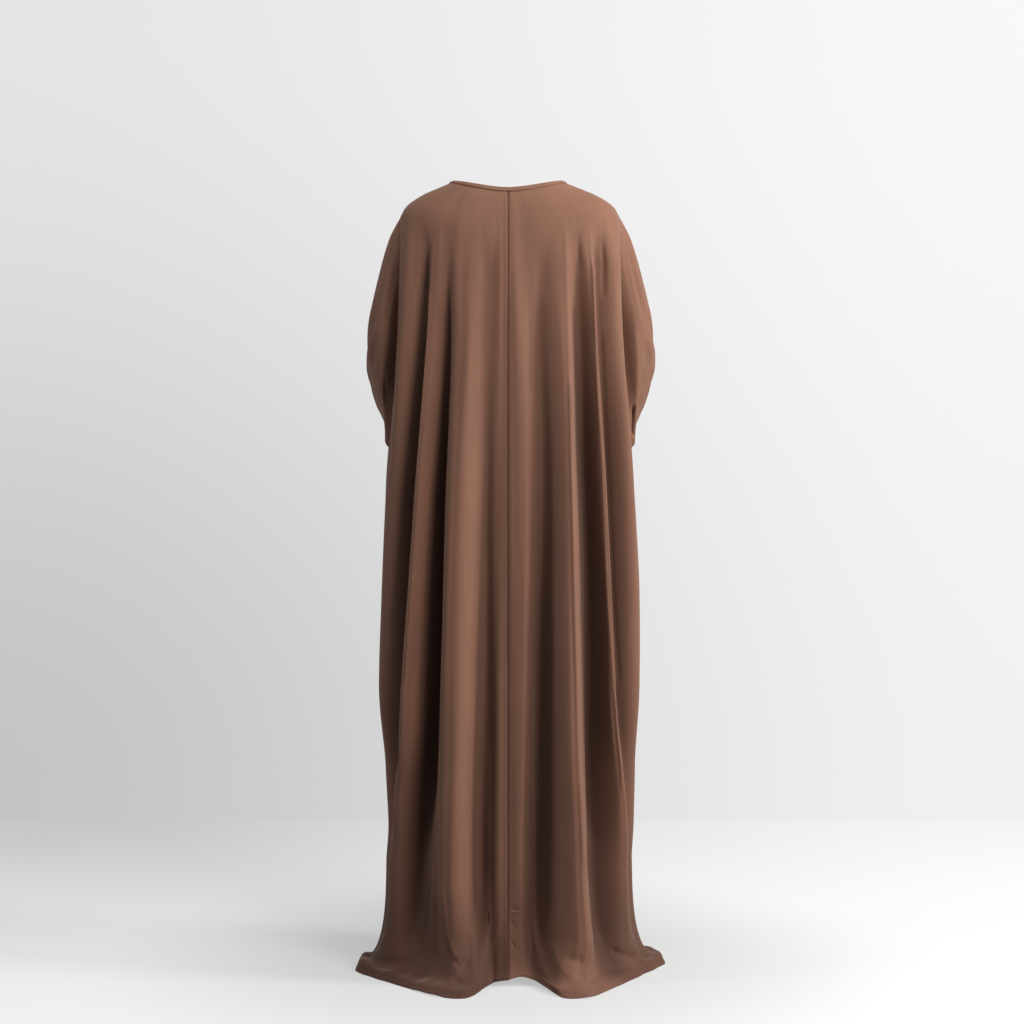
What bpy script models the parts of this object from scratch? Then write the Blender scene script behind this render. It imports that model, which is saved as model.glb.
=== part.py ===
"""A long, wide abaya with a plain round neck, a centre back seam, two batwing sleeves and a trailing hem.

The cloth is worn by nobody: it keeps the hollow form it has on a standing figure with bent arms.
The front faces -Y, the back +Y and the wearer's left +X. Heights in the tables are above the floor,
and the origin is the middle of the shoulder line, where the wearer holds the garment up.
"""

import math

import bmesh
import bpy
from mathutils import Vector

COLLECTION_NAME = "abaya"
LEFT = 1
RIGHT = -1

MOUNT_HEIGHT = 1.400
CLOTH_THICKNESS = 0.0016
SEAM_GAP = 0.0003
SEAM_STRIP = 0.002
BINDING_WIDTH = 0.008
BINDING_THICKNESS = 0.0024
BINDING_STANDS_PROUD = 0.0004
ROUNDNESS = 2.4
ARMHOLE_ROW_SPACING = 0.044
LOWER_ROW_SPACING = 0.072
STEPS_PER_FOLD_SIDE = 2

CLOTH_COLOUR = (0.165, 0.082, 0.056, 1.0)
BINDING_COLOUR = (0.150, 0.074, 0.050, 1.0)
CLOTH_ROUGHNESS = 0.78

# The garment's girth at each level, in metres: half widths to the wearer's left and right,
# and how far the back and the front stand from the shoulder line.
RINGS = (
    # name, left, right, side_height, back, back_height, front, front_height
    ("neckline", 0.098, 0.098, 1.430, 0.078, 1.412, 0.100, 1.325),
    ("collarbone", 0.124, 0.126, 1.419, 0.090, 1.392, 0.111, 1.300),
    ("mid_shoulder", 0.159, 0.164, 1.403, 0.100, 1.362, 0.119, 1.268),
    ("shoulder_point", 0.187, 0.194, 1.374, 0.109, 1.322, 0.124, 1.232),
    ("upper_arm", 0.201, 0.209, 1.300, 0.115, 1.270, 0.127, 1.185),
    ("chest", 0.209, 0.217, 1.160, 0.121, 1.150, 0.130, 1.105),
    ("waist", 0.216, 0.225, 1.030, 0.127, 1.030, 0.131, 1.010),
    ("underarm", 0.221, 0.229, 0.945, 0.130, 0.945, 0.132, 0.940),
    ("hip", 0.226, 0.233, 0.860, 0.133, 0.860, 0.134, 0.860),
    ("thigh", 0.231, 0.239, 0.680, 0.136, 0.680, 0.136, 0.680),
    ("knee", 0.233, 0.238, 0.520, 0.137, 0.520, 0.137, 0.520),
    ("calf", 0.222, 0.231, 0.370, 0.136, 0.370, 0.136, 0.370),
    ("shin", 0.221, 0.231, 0.270, 0.135, 0.270, 0.135, 0.270),
    ("ankle", 0.226, 0.228, 0.200, 0.134, 0.200, 0.134, 0.200),
)
SHOULDER_ROW = 3
UNDERARM_ROW = 7
ANKLE_ROW = len(RINGS) - 1

# The sleeve's loop stops just short of the armhole's two ends.
ARMHOLE_TOP_ROW = SHOULDER_ROW + 0.033
ARMHOLE_BOTTOM_ROW = UNDERARM_ROW - 0.0125

# The slope of the cloth at the neckline is read between the edge and this row.
NECK_SLOPE_ROW = 0.25

# How the cloth leaves the ankle and runs out on the floor: its level among the folds, its height,
# the share of the way out to the hem's outline, and the share of the rolled edge's height.
HEM_PROFILE = (
    # name, level, height, reach, roll
    ("ankle", 0.200, 0.200, 0.00, 0.0),
    ("heel", 0.150, 0.138, 0.04, 0.0),
    ("fall", 0.105, 0.084, 0.13, 0.0),
    ("turn", 0.068, 0.042, 0.30, 0.0),
    ("trough", 0.038, 0.012, 0.56, 0.2),
    ("roll", 0.016, 0.007, 0.84, 1.0),
    ("edge", 0.000, 0.000, 1.00, 0.0),
)
HEM_ROW = ANKLE_ROW + len(HEM_PROFILE) - 1

# The hem's outline on the floor, round from the centre back: the lobes that trail behind, the arch
# between them, the pointed corners at the sides and the plainer waves in front.
HEM_LEFT = (
    # turn_deg, radius, height, roll
    (0.0, 0.155, 0.012, 0.000),
    (9.0, 0.155, 0.007, 0.001),
    (13.0, 0.176, 0.003, 0.005),
    (15.0, 0.228, 0.001, 0.010),
    (18.0, 0.249, 0.001, 0.013),
    (23.0, 0.256, 0.001, 0.014),
    (36.0, 0.249, 0.001, 0.011),
    (46.0, 0.244, 0.001, 0.009),
    (57.0, 0.247, 0.001, 0.011),
    (68.0, 0.261, 0.001, 0.016),
    (82.0, 0.281, 0.001, 0.020),
    (90.0, 0.274, 0.001, 0.017),
    (104.0, 0.248, 0.001, 0.011),
    (122.0, 0.224, 0.001, 0.007),
    (138.0, 0.232, 0.001, 0.011),
    (158.0, 0.196, 0.004, 0.005),
    (168.0, 0.200, 0.003, 0.007),
    (180.0, 0.176, 0.008, 0.002),
)
HEM_RIGHT = (
    # turn_deg, radius, height, roll
    (0.0, 0.155, 0.012, 0.000),
    (9.0, 0.151, 0.016, 0.000),
    (17.0, 0.163, 0.011, 0.001),
    (20.0, 0.196, 0.006, 0.005),
    (22.0, 0.250, 0.001, 0.011),
    (26.0, 0.265, 0.001, 0.013),
    (31.0, 0.272, 0.001, 0.015),
    (40.0, 0.259, 0.001, 0.011),
    (49.0, 0.250, 0.001, 0.009),
    (59.0, 0.247, 0.001, 0.010),
    (73.0, 0.254, 0.001, 0.014),
    (84.0, 0.270, 0.001, 0.017),
    (93.0, 0.290, 0.001, 0.018),
    (100.0, 0.280, 0.001, 0.016),
    (112.0, 0.252, 0.001, 0.011),
    (128.0, 0.226, 0.001, 0.007),
    (142.0, 0.234, 0.001, 0.011),
    (160.0, 0.192, 0.004, 0.005),
    (170.0, 0.202, 0.003, 0.007),
    (180.0, 0.176, 0.008, 0.002),
)

# Each crest and valley runs from the neck to the hem. Its turn is the bearing round from the centre
# back at eight levels, and its depth is how far it stands out (+) or in (-) there, in millimetres.
FOLD_LEVELS = (1.430, 1.300, 1.150, 0.870, 0.500, 0.200, 0.105, 0.000)
BACK_LEFT_FOLDS = (
    # name, turn_deg at each level, depth_mm at each level
    ("centre_seam", (0, 0, 0, 0, 0, 0, 0, 0), (0, 0, 0, 0, 0, 0, 0, 0)),
    ("soft_dip", (14.5, 14, 14, 14.5, 17, 17, 14.5, 12), (0, -1, -3, -8, -10, -10, -4, 0)),
    ("broad_fold", (27, 29, 27.5, 25.5, 25, 26.5, 27, 17.5), (0, 3, 9, 17, 21, 23, 14, 0)),
    ("broad_fold_edge", (38, 37.5, 36, 35, 36.5, 38, 36, 31), (0, 3, 10, 20, 25, 25, 16, 0)),
    ("deep_valley", (45, 44, 44, 44.5, 48, 55, 55, 54), (0, -5, -18, -31, -38, -34, -20, 0)),
    ("second_fold", (52, 49.5, 49, 50.5, 55, 65, 67, 64), (0, 3, 5, 8, 10, 9, 5, 0)),
    ("second_fold_edge", (57.5, 54.5, 54.5, 55.5, 61.5, 70.5, 73.5, 74), (0, 2, 5, 9, 11, 9, 6, 0)),
    ("outer_valley", (65.5, 60.5, 61, 64, 71, 84, 88, 90), (0, -7, -20, -31, -34, -24, -12, 0)),
    ("side_fold", (77, 68, 68.5, 76, 86, 103, 106, 108), (0, 4, 6, 7, 5, 4, 2, 0)),
)
BACK_RIGHT_FOLDS = (
    # name, turn_deg at each level, depth_mm at each level
    ("centre_seam", (0, 0, 0, 0, 0, 0, 0, 0), (0, 0, 0, 0, 0, 0, 0, 0)),
    ("flat_fold", (7, 7, 8, 7.5, 8.5, 7.5, 7.5, 8), (0, 1, 3, 4, 5, 5, 3, 0)),
    ("flat_fold_edge", (17.5, 17, 18, 17.5, 17, 16, 15, 15), (0, 0, 1, 2, 3, 3, 1, 0)),
    ("wide_valley", (30, 29, 28, 30.5, 30, 31.5, 27.5, 19.5), (0, -3, -7, -14, -25, -28, -16, 0)),
    ("bright_fold", (39.5, 37.5, 36, 35, 34.5, 36.5, 34, 24), (0, 2, 6, 12, 15, 17, 11, 0)),
    ("bright_fold_edge", (47, 43.5, 41, 39.5, 40.5, 44.5, 46.5, 33), (0, 3, 10, 17, 22, 24, 15, 0)),
    ("deep_valley", (54, 50, 48.5, 49, 51.5, 59, 60, 54), (0, -5, -14, -23, -29, -29, -18, 0)),
    ("second_fold", (63.5, 58, 56.5, 57, 61, 71, 78, 80), (0, 3, 7, 10, 11, 9, 5, 0)),
    ("outer_valley", (70.5, 65.5, 65, 67, 71, 84, 90, 94), (0, -6, -15, -22, -25, -18, -9, 0)),
    ("side_fold", (80, 72, 73, 79, 86, 103, 108, 110), (0, 4, 6, 7, 6, 4, 2, 0)),
)
FRONT_LEFT_FOLDS = (
    # name, turn_deg at each level, depth_mm at each level
    ("side_fold", (105, 112, 117, 107, 114, 127, 129, 130), (0, 3, 7, 11, 14, 12, 7, 0)),
    ("side_valley", (118, 122, 126, 119, 126, 136, 138, 140), (0, -5, -14, -22, -28, -24, -14, 0)),
    ("mid_fold", (132, 134, 136, 133, 138, 147, 149, 151), (0, 3, 8, 14, 18, 16, 9, 0)),
    ("mid_valley", (146, 146, 148, 148, 150, 157, 159, 160), (0, -4, -11, -17, -22, -19, -11, 0)),
    ("inner_fold", (162, 160, 161, 162, 162, 167, 168, 168), (0, 3, 6, 10, 13, 11, 6, 0)),
    ("centre_front", (180, 180, 180, 180, 180, 180, 180, 180), (0, -1, -4, -7, -9, -8, -5, 0)),
)
FRONT_RIGHT_FOLDS = (
    # name, turn_deg at each level, depth_mm at each level
    ("side_fold", (106, 113, 118, 108, 116, 128, 130, 132), (0, 3, 6, 10, 14, 13, 8, 0)),
    ("side_valley", (120, 124, 129, 121, 129, 138, 141, 143), (0, -4, -13, -20, -24, -22, -13, 0)),
    ("mid_fold", (135, 137, 139, 137, 142, 150, 153, 155), (0, 3, 8, 15, 19, 17, 10, 0)),
    ("mid_valley", (150, 150, 152, 153, 155, 160, 162, 163), (0, -5, -12, -19, -24, -20, -12, 0)),
    ("inner_fold", (166, 164, 165, 166, 166, 170, 171, 171), (0, 2, 5, 9, 11, 10, 6, 0)),
    ("centre_front", (180, 180, 180, 180, 180, 180, 180, 180), (0, -1, -4, -7, -9, -8, -5, 0)),
)

# Where the back and the front end at the side: one shoulder seam, the two edges of the armhole,
# and one side seam that the folds carry forward on its way down.
SIDE_EDGES = (
    # level, back_turn_deg, front_turn_deg, depth_mm
    (1.430, 90.0, 90.0, 0),
    (1.374, 90.0, 90.0, 0),
    (1.337, 84.5, 95.5, -1),
    (1.300, 81.5, 100.5, -3),
    (1.160, 83.5, 106.0, -7),
    (1.030, 86.5, 103.0, -8),
    (0.945, 91.0, 91.0, -7),
    (0.860, 93.5, 93.5, -8),
    (0.520, 103.0, 103.0, -12),
    (0.200, 116.0, 116.0, -10),
    (0.000, 121.0, 121.0, 0),
)

# The left sleeve from the shoulder round the elbow to the wrist, as upright sections: the outer
# and the inner wall in plan, the underarm line in plan, the top and the bottom, and where between
# them it is widest.
SLEEVE_SECTIONS = (
    # name, outer_x, outer_y, inner_x, inner_y, under_x, under_y, top, bottom, widest, bottom_sharpness
    ("shoulder", 0.226, 0.030, 0.206, -0.058, 0.2265, -0.012, 1.330, 0.958, 0.55, 0.80),
    ("upper_arm", 0.246, 0.012, 0.210, -0.062, 0.2330, -0.027, 1.280, 0.969, 0.57, 0.85),
    ("elbow_back", 0.260, -0.028, 0.208, -0.072, 0.2365, -0.054, 1.226, 0.978, 0.57, 0.85),
    ("elbow", 0.262, -0.084, 0.199, -0.096, 0.2310, -0.092, 1.180, 0.983, 0.56, 0.75),
    ("forearm", 0.250, -0.144, 0.180, -0.130, 0.2150, -0.137, 1.152, 0.988, 0.54, 0.65),
    ("lower_arm", 0.226, -0.207, 0.149, -0.175, 0.1875, -0.191, 1.134, 0.998, 0.52, 0.56),
    ("cuff", 0.195, -0.266, 0.113, -0.228, 0.1540, -0.247, 1.122, 1.010, 0.50, 0.50),
)
RIGHT_SLEEVE_REACH = 1.030
TOP_SHARPNESS = 0.52
STEPS_PER_SLEEVE_SECTION = 2

# The underlap behind the closed vent at the foot of the centre back seam.
VENT_TOP = 0.130
VENT_BOTTOM = 0.030
VENT_WIDTH = 0.025
VENT_COLUMNS = 3
VENT_STANDOFF = 0.0010


def curve_at(knots, values, place):
    """A smooth curve through values at rising or falling knots, read at one place."""
    if knots[0] > knots[-1]:
        knots, values = knots[::-1], values[::-1]
    last = len(knots) - 1
    place = min(max(place, knots[0]), knots[last])
    index = 0
    while index < last - 1 and place > knots[index + 1]:
        index += 1
    span = knots[index + 1] - knots[index]
    share = (place - knots[index]) / span

    def slope(at):
        steps = []
        for first in (at - 1, at):
            if 0 <= first < last:
                steps.append((values[first + 1] - values[first]) / (knots[first + 1] - knots[first]))
        if len(steps) == 2 and steps[0] * steps[1] <= 0:
            return 0.0
        if len(steps) == 2:
            return 2 * steps[0] * steps[1] / (steps[0] + steps[1])
        return steps[0]

    square = share * share
    cube = square * share
    return (
        (2 * cube - 3 * square + 1) * values[index]
        + (cube - 2 * square + share) * span * slope(index)
        + (3 * square - 2 * cube) * values[index + 1]
        + (cube - square) * span * slope(index + 1)
    )


def column(table, place):
    """One column of a table, as a tuple."""
    return tuple(row[place] for row in table)


def girth_radius(half_width, half_depth, turn):
    """The distance from the middle to a rounded outline at one bearing."""
    across = (abs(math.sin(turn)) / half_width) ** ROUNDNESS
    along = (abs(math.cos(turn)) / half_depth) ** ROUNDNESS
    return 1.0 / (across + along) ** (1.0 / ROUNDNESS)


def ring_values(side, row):
    """Half width, side height, and the back's and front's depth and height at a row."""
    rows = tuple(range(len(RINGS)))
    width_column = 1 if side == LEFT else 2
    picked = (width_column, 3, 4, 5, 6, 7)
    return tuple(curve_at(rows, column(RINGS, place), row) for place in picked)


def level_at(row):
    """The level that the fold tables are read at."""
    if row <= ANKLE_ROW:
        return curve_at(tuple(range(len(RINGS))), column(RINGS, 3), row)
    return curve_at(tuple(range(len(HEM_PROFILE))), column(HEM_PROFILE, 1), row - ANKLE_ROW)


def ring_point(side, turn, row, depth):
    """A point of the cloth above the ankle, as radius and height."""
    half_width, side_height, back, back_height, front, front_height = ring_values(side, row)
    is_back = turn < math.pi / 2
    half_depth = back if is_back else front
    middle_height = back_height if is_back else front_height
    radius = girth_radius(half_width, half_depth, turn) + depth
    height = side_height + (middle_height - side_height) * math.cos(turn) ** 2
    return radius, height


def cloth_point(side, turn_deg, depth_mm, row):
    """A point of the body's cloth in the garment's frame."""
    turn = math.radians(turn_deg)
    depth = depth_mm / 1000
    if row <= ANKLE_ROW:
        radius, height = ring_point(side, turn, row, depth)
    else:
        radius, height = hem_point(side, turn_deg, depth, row)
    return Vector((side * radius * math.sin(turn), radius * math.cos(turn), height - MOUNT_HEIGHT))


def hem_point(side, turn_deg, depth, row):
    """A point of the cloth between the ankle and the edge on the floor, as radius and height."""
    outline = HEM_LEFT if side == LEFT else HEM_RIGHT
    turns = column(outline, 0)
    edge_radius = curve_at(turns, column(outline, 1), turn_deg)
    edge_height = curve_at(turns, column(outline, 2), turn_deg)
    edge_roll = curve_at(turns, column(outline, 3), turn_deg)
    places = tuple(range(len(HEM_PROFILE)))
    place = row - ANKLE_ROW
    height = curve_at(places, column(HEM_PROFILE, 2), place)
    reach = curve_at(places, column(HEM_PROFILE, 3), place)
    roll = curve_at(places, column(HEM_PROFILE, 4), place)
    start, _ = ring_point(side, math.radians(turn_deg), ANKLE_ROW, depth)
    return start + (edge_radius - start) * reach, height + edge_height + roll * edge_roll


def side_edge(level, is_back):
    """The bearing and depth of the back's or the front's edge at the side."""
    levels = column(SIDE_EDGES, 0)
    turn_deg = curve_at(levels, column(SIDE_EDGES, 1 if is_back else 2), level)
    return turn_deg, curve_at(levels, column(SIDE_EDGES, 3), level)


def fold_at(fold, level):
    """A fold's bearing and depth at a level."""
    _, turns, depths = fold
    return curve_at(FOLD_LEVELS, turns, level), curve_at(FOLD_LEVELS, depths, level)


def gap_turn(side, turn_deg, row, gap):
    """The bearing that a gap along the cloth takes up."""
    radius = cloth_point(side, turn_deg, 0.0, row).xy.length
    return math.degrees(gap / radius)


def across_folds(side, row, stops, last_is_seam):
    """A row's points, rounded between each crest and valley and level for a strip along each seam."""
    places = [stops[0]]
    for (turn, depth), (next_turn, next_depth) in zip(stops, stops[1:]):
        for step in range(1, STEPS_PER_FOLD_SIDE + 1):
            share = step / STEPS_PER_FOLD_SIDE
            eased = (1 - math.cos(math.pi * share)) / 2
            places.append((turn + (next_turn - turn) * share, depth + (next_depth - depth) * eased))
    first_turn, first_depth = stops[0]
    places.insert(1, (first_turn + gap_turn(side, first_turn, row, SEAM_STRIP), first_depth))
    if last_is_seam:
        last_turn, last_depth = stops[-1]
        places.insert(-1, (last_turn - gap_turn(side, last_turn, row, SEAM_STRIP), last_depth))
    return [cloth_point(side, turn, depth, row) for turn, depth in places]


def body_rows():
    """The rows of the body's grid, closer together along the armhole."""
    rows = [0.0]
    for index in range(ANKLE_ROW):
        drop = RINGS[index][5] - RINGS[index + 1][5]
        spacing = ARMHOLE_ROW_SPACING if index < UNDERARM_ROW else LOWER_ROW_SPACING
        steps = max(1, round(drop / spacing))
        rows.extend(index + step / steps for step in range(1, steps + 1))
    rows.extend(range(ANKLE_ROW + 1, HEM_ROW + 1))
    return rows


def back_row(side, folds, row):
    """A row of one back panel, from the centre seam to the side edge."""
    level = level_at(row)
    stops = [fold_at(fold, level) for fold in folds]
    stops[0] = (gap_turn(side, 0.0, row, SEAM_GAP / 2), stops[0][1])
    turn, depth = side_edge(level, True)
    stops.append((turn - gap_turn(side, turn, row, SEAM_GAP), depth))
    return across_folds(side, row, stops, last_is_seam=True)


def back_grid(side, folds):
    """One back panel's points, row by row."""
    return [back_row(side, folds, row) for row in body_rows()]


def front_half(side, folds, row):
    """Half a row of the front, from the side edge to the centre front."""
    level = level_at(row)
    turn, depth = side_edge(level, False)
    stops = [(turn + gap_turn(side, turn, row, SEAM_GAP), depth)]
    stops.extend(fold_at(fold, level) for fold in folds)
    return across_folds(side, row, stops, last_is_seam=False)


def front_grid():
    """The front's points, from the right side edge round to the left one, row by row."""
    grid = []
    for row in body_rows():
        right_half = front_half(RIGHT, FRONT_RIGHT_FOLDS, row)
        left_half = front_half(LEFT, FRONT_LEFT_FOLDS, row)
        grid.append(right_half + left_half[-2::-1])
    return grid


def armhole_loop(side):
    """Points round the armhole, each with its share of the height: top, back, bottom, front."""
    rows = [row for row in body_rows() if SHOULDER_ROW < row < UNDERARM_ROW]

    def at(row, is_back, gap):
        turn, depth = side_edge(level_at(row), is_back)
        turn += gap_turn(side, turn, row, gap) * (1 if is_back else -1)
        return cloth_point(side, turn, depth, row)

    back = [at(row, True, SEAM_GAP) for row in rows]
    front = [at(row, False, SEAM_GAP) for row in reversed(rows)]
    top = (at(ARMHOLE_TOP_ROW, True, 0.0) + at(ARMHOLE_TOP_ROW, False, 0.0)) / 2
    bottom = (at(ARMHOLE_BOTTOM_ROW, True, 0.0) + at(ARMHOLE_BOTTOM_ROW, False, 0.0)) / 2
    span = top.z - bottom.z
    loop = [(top, 1.0, 0)]
    loop.extend((point, (point.z - bottom.z) / span, 1) for point in back)
    loop.append((bottom, 0.0, 0))
    loop.extend((point, (point.z - bottom.z) / span, -1) for point in front)
    return loop


def section_bulge(share, widest, bottom_sharpness):
    """How far a sleeve section stands out from its middle line at a share of its height."""
    power = math.log(0.5) / math.log(widest)
    wave = max(0.0, math.sin(math.pi * share**power))
    return wave ** (TOP_SHARPNESS if share > widest else bottom_sharpness)


def sleeve_section_point(side, section, share, wall):
    """A point of one sleeve section, on the outer (+1) or the inner (-1) wall."""
    _, outer_x, outer_y, inner_x, inner_y, under_x, under_y = section[:7]
    top, bottom, widest, bottom_sharpness = section[7:]
    reach = side if side == LEFT else side * RIGHT_SLEEVE_REACH
    outer = Vector((outer_x * reach, outer_y))
    inner = Vector((inner_x * reach, inner_y))
    under = Vector((under_x * reach, under_y))
    bulge = section_bulge(share, widest, bottom_sharpness)
    middle = under.lerp((outer + inner) / 2, min(1.0, share / widest))
    plan = middle + (outer - inner) / 2 * bulge * wall
    return Vector((plan.x, plan.y, bottom + (top - bottom) * share - MOUNT_HEIGHT))


def sleeve_grid(side):
    """The sleeve's rings, from the armhole to the cuff."""
    strands = []
    for point, share, wall in armhole_loop(side):
        stations = [point]
        stations.extend(sleeve_section_point(side, section, share, wall) for section in SLEEVE_SECTIONS)
        strands.append(stations)
    stations = tuple(range(len(SLEEVE_SECTIONS) + 1))
    grid = []
    for step in range(len(SLEEVE_SECTIONS) * STEPS_PER_SLEEVE_SECTION + 1):
        place = step / STEPS_PER_SLEEVE_SECTION
        ring = []
        for strand in strands:
            ring.append(Vector(curve_at(stations, column(strand, axis), place) for axis in range(3)))
        grid.append(ring)
    return grid


def cloth_material(name, colour):
    """The plain matte cloth of one node."""
    material = bpy.data.materials.new(name)
    material.use_nodes = True
    shader = material.node_tree.nodes["Principled BSDF"]
    shader.inputs["Base Color"].default_value = colour
    shader.inputs["Roughness"].default_value = CLOTH_ROUGHNESS
    shader.inputs["Metallic"].default_value = 0.0
    return material


def surface_mesh(name, grid, is_closed, is_flipped):
    """An open surface through a grid of points, facing out."""
    mesh = bmesh.new()
    rows = [[mesh.verts.new(point) for point in ring] for ring in grid]
    for upper, lower in zip(rows, rows[1:]):
        count = len(upper) if is_closed else len(upper) - 1
        for place in range(count):
            after = (place + 1) % len(upper)
            corners = [upper[place], lower[place], lower[after], upper[after]]
            if is_flipped:
                corners.reverse()
            mesh.faces.new(corners)
    data = bpy.data.meshes.new(name)
    mesh.to_mesh(data)
    mesh.free()
    data.shade_smooth()
    return data


def add_cloth(collection, name, grid, colour, is_closed=False, is_flipped=False, thickness=CLOTH_THICKNESS):
    """One sewn piece: an open surface with the cloth's thickness behind it."""
    piece = bpy.data.objects.new(name, surface_mesh(name, grid, is_closed, is_flipped))
    piece.data.materials.append(cloth_material(name, colour))
    collection.objects.link(piece)
    wall = piece.modifiers.new("cloth", "SOLIDIFY")
    wall.thickness = thickness
    wall.offset = -1.0
    return piece


def neck_ring(row):
    """The points round the neck at a row, from the centre back past the left shoulder."""
    halves = {}
    for side, back_folds, front_folds in (
        (LEFT, BACK_LEFT_FOLDS, FRONT_LEFT_FOLDS),
        (RIGHT, BACK_RIGHT_FOLDS, FRONT_RIGHT_FOLDS),
    ):
        halves[side] = back_row(side, back_folds, row)[1:-1] + front_half(side, front_folds, row)[1:]
    return halves[LEFT] + halves[RIGHT][-2::-1]


def neck_binding_grid():
    """Two rings for the narrow binding that carries the cloth's slope on past the neckline."""
    edge = neck_ring(0.0)
    below = neck_ring(NECK_SLOPE_ROW)
    upper = []
    lower = []
    for place, point in enumerate(edge):
        slope = (point - below[place]).normalized()
        along = (edge[place - 1] - edge[(place + 1) % len(edge)]).normalized()
        outward = along.cross(slope).normalized()
        if outward.z < 0:
            outward.negate()
        start = point + slope * SEAM_GAP + outward * BINDING_STANDS_PROUD
        lower.append(start)
        upper.append(start + slope * BINDING_WIDTH)
    return [upper, lower]


def ring_at_height(grid, height):
    """The ring of a panel at one height at the centre seam, between the two rows beside it."""
    for upper, lower in zip(grid, grid[1:]):
        if upper[0].z >= height >= lower[0].z:
            share = (upper[0].z - height) / (upper[0].z - lower[0].z)
            return [above.lerp(below, share) for above, below in zip(upper, lower)]
    return grid[-1]


def point_along(ring, distance):
    """The point of a ring at a distance from its first point."""
    for point, after in zip(ring, ring[1:]):
        length = (after - point).length
        if distance <= length:
            return point.lerp(after, distance / length)
        distance -= length
    return ring[-1]


def vent_underlap_grid(back_right):
    """A strip behind the right back, made from that panel's own points moved in."""
    top = VENT_TOP - MOUNT_HEIGHT
    bottom = VENT_BOTTOM - MOUNT_HEIGHT
    rings = [ring_at_height(back_right, top)]
    rings.extend(ring for ring in back_right if bottom < ring[0].z < top)
    rings.append(ring_at_height(back_right, bottom))
    strip = []
    for ring in rings:
        strip.append([point_along(ring, VENT_WIDTH * step / VENT_COLUMNS) for step in range(VENT_COLUMNS + 1)])
    return moved_inward(strip, CLOTH_THICKNESS + VENT_STANDOFF)


def moved_inward(grid, distance):
    """A copy of a grid on the garment's back, moved in along its own slope."""
    moved = []
    for row, points in enumerate(grid):
        above = grid[max(row - 1, 0)]
        below = grid[min(row + 1, len(grid) - 1)]
        copies = []
        for place, point in enumerate(points):
            across = points[min(place + 1, len(points) - 1)] - points[max(place - 1, 0)]
            inward = across.cross(below[place] - above[place]).normalized()
            if inward.y > 0:
                inward.negate()
            copies.append(point + inward * distance)
        moved.append(copies)
    return moved


def build():
    for old in list(bpy.data.objects):
        bpy.data.objects.remove(old, do_unlink=True)
    collection = bpy.data.collections.new(COLLECTION_NAME)
    bpy.context.scene.collection.children.link(collection)

    back_left = back_grid(LEFT, BACK_LEFT_FOLDS)
    back_right = back_grid(RIGHT, BACK_RIGHT_FOLDS)
    add_cloth(collection, "back_left", back_left, CLOTH_COLOUR, is_flipped=True)
    add_cloth(collection, "back_right", back_right, CLOTH_COLOUR)
    add_cloth(collection, "front", front_grid(), CLOTH_COLOUR)
    add_cloth(collection, "sleeve_left", sleeve_grid(LEFT), CLOTH_COLOUR, is_closed=True)
    add_cloth(collection, "sleeve_right", sleeve_grid(RIGHT), CLOTH_COLOUR, is_closed=True, is_flipped=True)
    add_cloth(
        collection,
        "neck_binding",
        neck_binding_grid(),
        BINDING_COLOUR,
        is_closed=True,
        is_flipped=True,
        thickness=BINDING_THICKNESS,
    )
    add_cloth(collection, "vent_underlap", vent_underlap_grid(back_right), BINDING_COLOUR)


build()
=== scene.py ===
"""The finished cloth of a long, wide abaya: a plain round neck, a centre back seam with a closed vent,
two batwing sleeves and a hem that trails on the floor.

The front faces -Y, the back +Y and the wearer's left +X. Heights in the tables are above the floor,
and the origin is the middle of the shoulder line. Bearings are in degrees round from the centre back,
positive to the wearer's left, and depths are how far the cloth stands out (+) or in (-), in millimetres.
"""

import math

import bpy
import numpy as np
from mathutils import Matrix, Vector


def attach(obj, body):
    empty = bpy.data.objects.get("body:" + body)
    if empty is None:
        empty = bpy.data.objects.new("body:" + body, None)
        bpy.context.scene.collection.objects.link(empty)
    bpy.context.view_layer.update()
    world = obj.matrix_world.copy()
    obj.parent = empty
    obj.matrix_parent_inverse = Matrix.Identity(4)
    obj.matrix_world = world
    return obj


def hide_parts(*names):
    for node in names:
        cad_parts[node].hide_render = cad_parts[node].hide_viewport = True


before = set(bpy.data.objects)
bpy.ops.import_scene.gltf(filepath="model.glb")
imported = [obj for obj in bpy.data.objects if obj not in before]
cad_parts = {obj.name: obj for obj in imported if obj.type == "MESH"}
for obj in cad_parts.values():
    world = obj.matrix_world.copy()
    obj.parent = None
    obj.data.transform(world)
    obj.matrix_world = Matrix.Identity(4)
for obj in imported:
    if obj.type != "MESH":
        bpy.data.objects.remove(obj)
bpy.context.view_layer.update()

LEFT = 1
RIGHT = -1

MOUNT_HEIGHT = 1.400
CLOTH_THICKNESS = 0.0012
SEAM_GAP = 0.0001
SEAM_ALLOWANCE = (0.0005, 0.0045)
ROUNDNESS = 2.4
ROW_SPACING = 0.008
HEM_STEPS = 12
FRONT_STEPS = (6, 8)
BACK_STEPS = (7, 10)
SIDE_SEAM_SHARES = (0.30, 0.55, 0.74, 0.86, 0.93, 0.97, 0.99)
COMPENSATION_ROUNDS = 6
ARC_INSET = 0.25
SMALLEST_LENGTH = 1e-12

# The centre back seam: the left panel's edge lies over the right one, which dips under it.
SEAM_COLUMNS = (0.0008, 0.0016, 0.0024, 0.0032, 0.0042, 0.0055, 0.0070, 0.0090, 0.0115)
SEAM_STRIP_MARGIN = 1.1
BESIDE_STRIP_SHARES = (0.12, 0.27, 0.42, 0.57, 0.72, 0.87)
LAP_EDGE = {LEFT: 0.0010, RIGHT: 0.0050}
LAP_CREST = 0.0030
LAP_RISE = 0.0006
LAP_WIDTH = 0.0035
LAP_DIP = 0.0024
LAP_DIP_END = 0.0034

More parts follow.
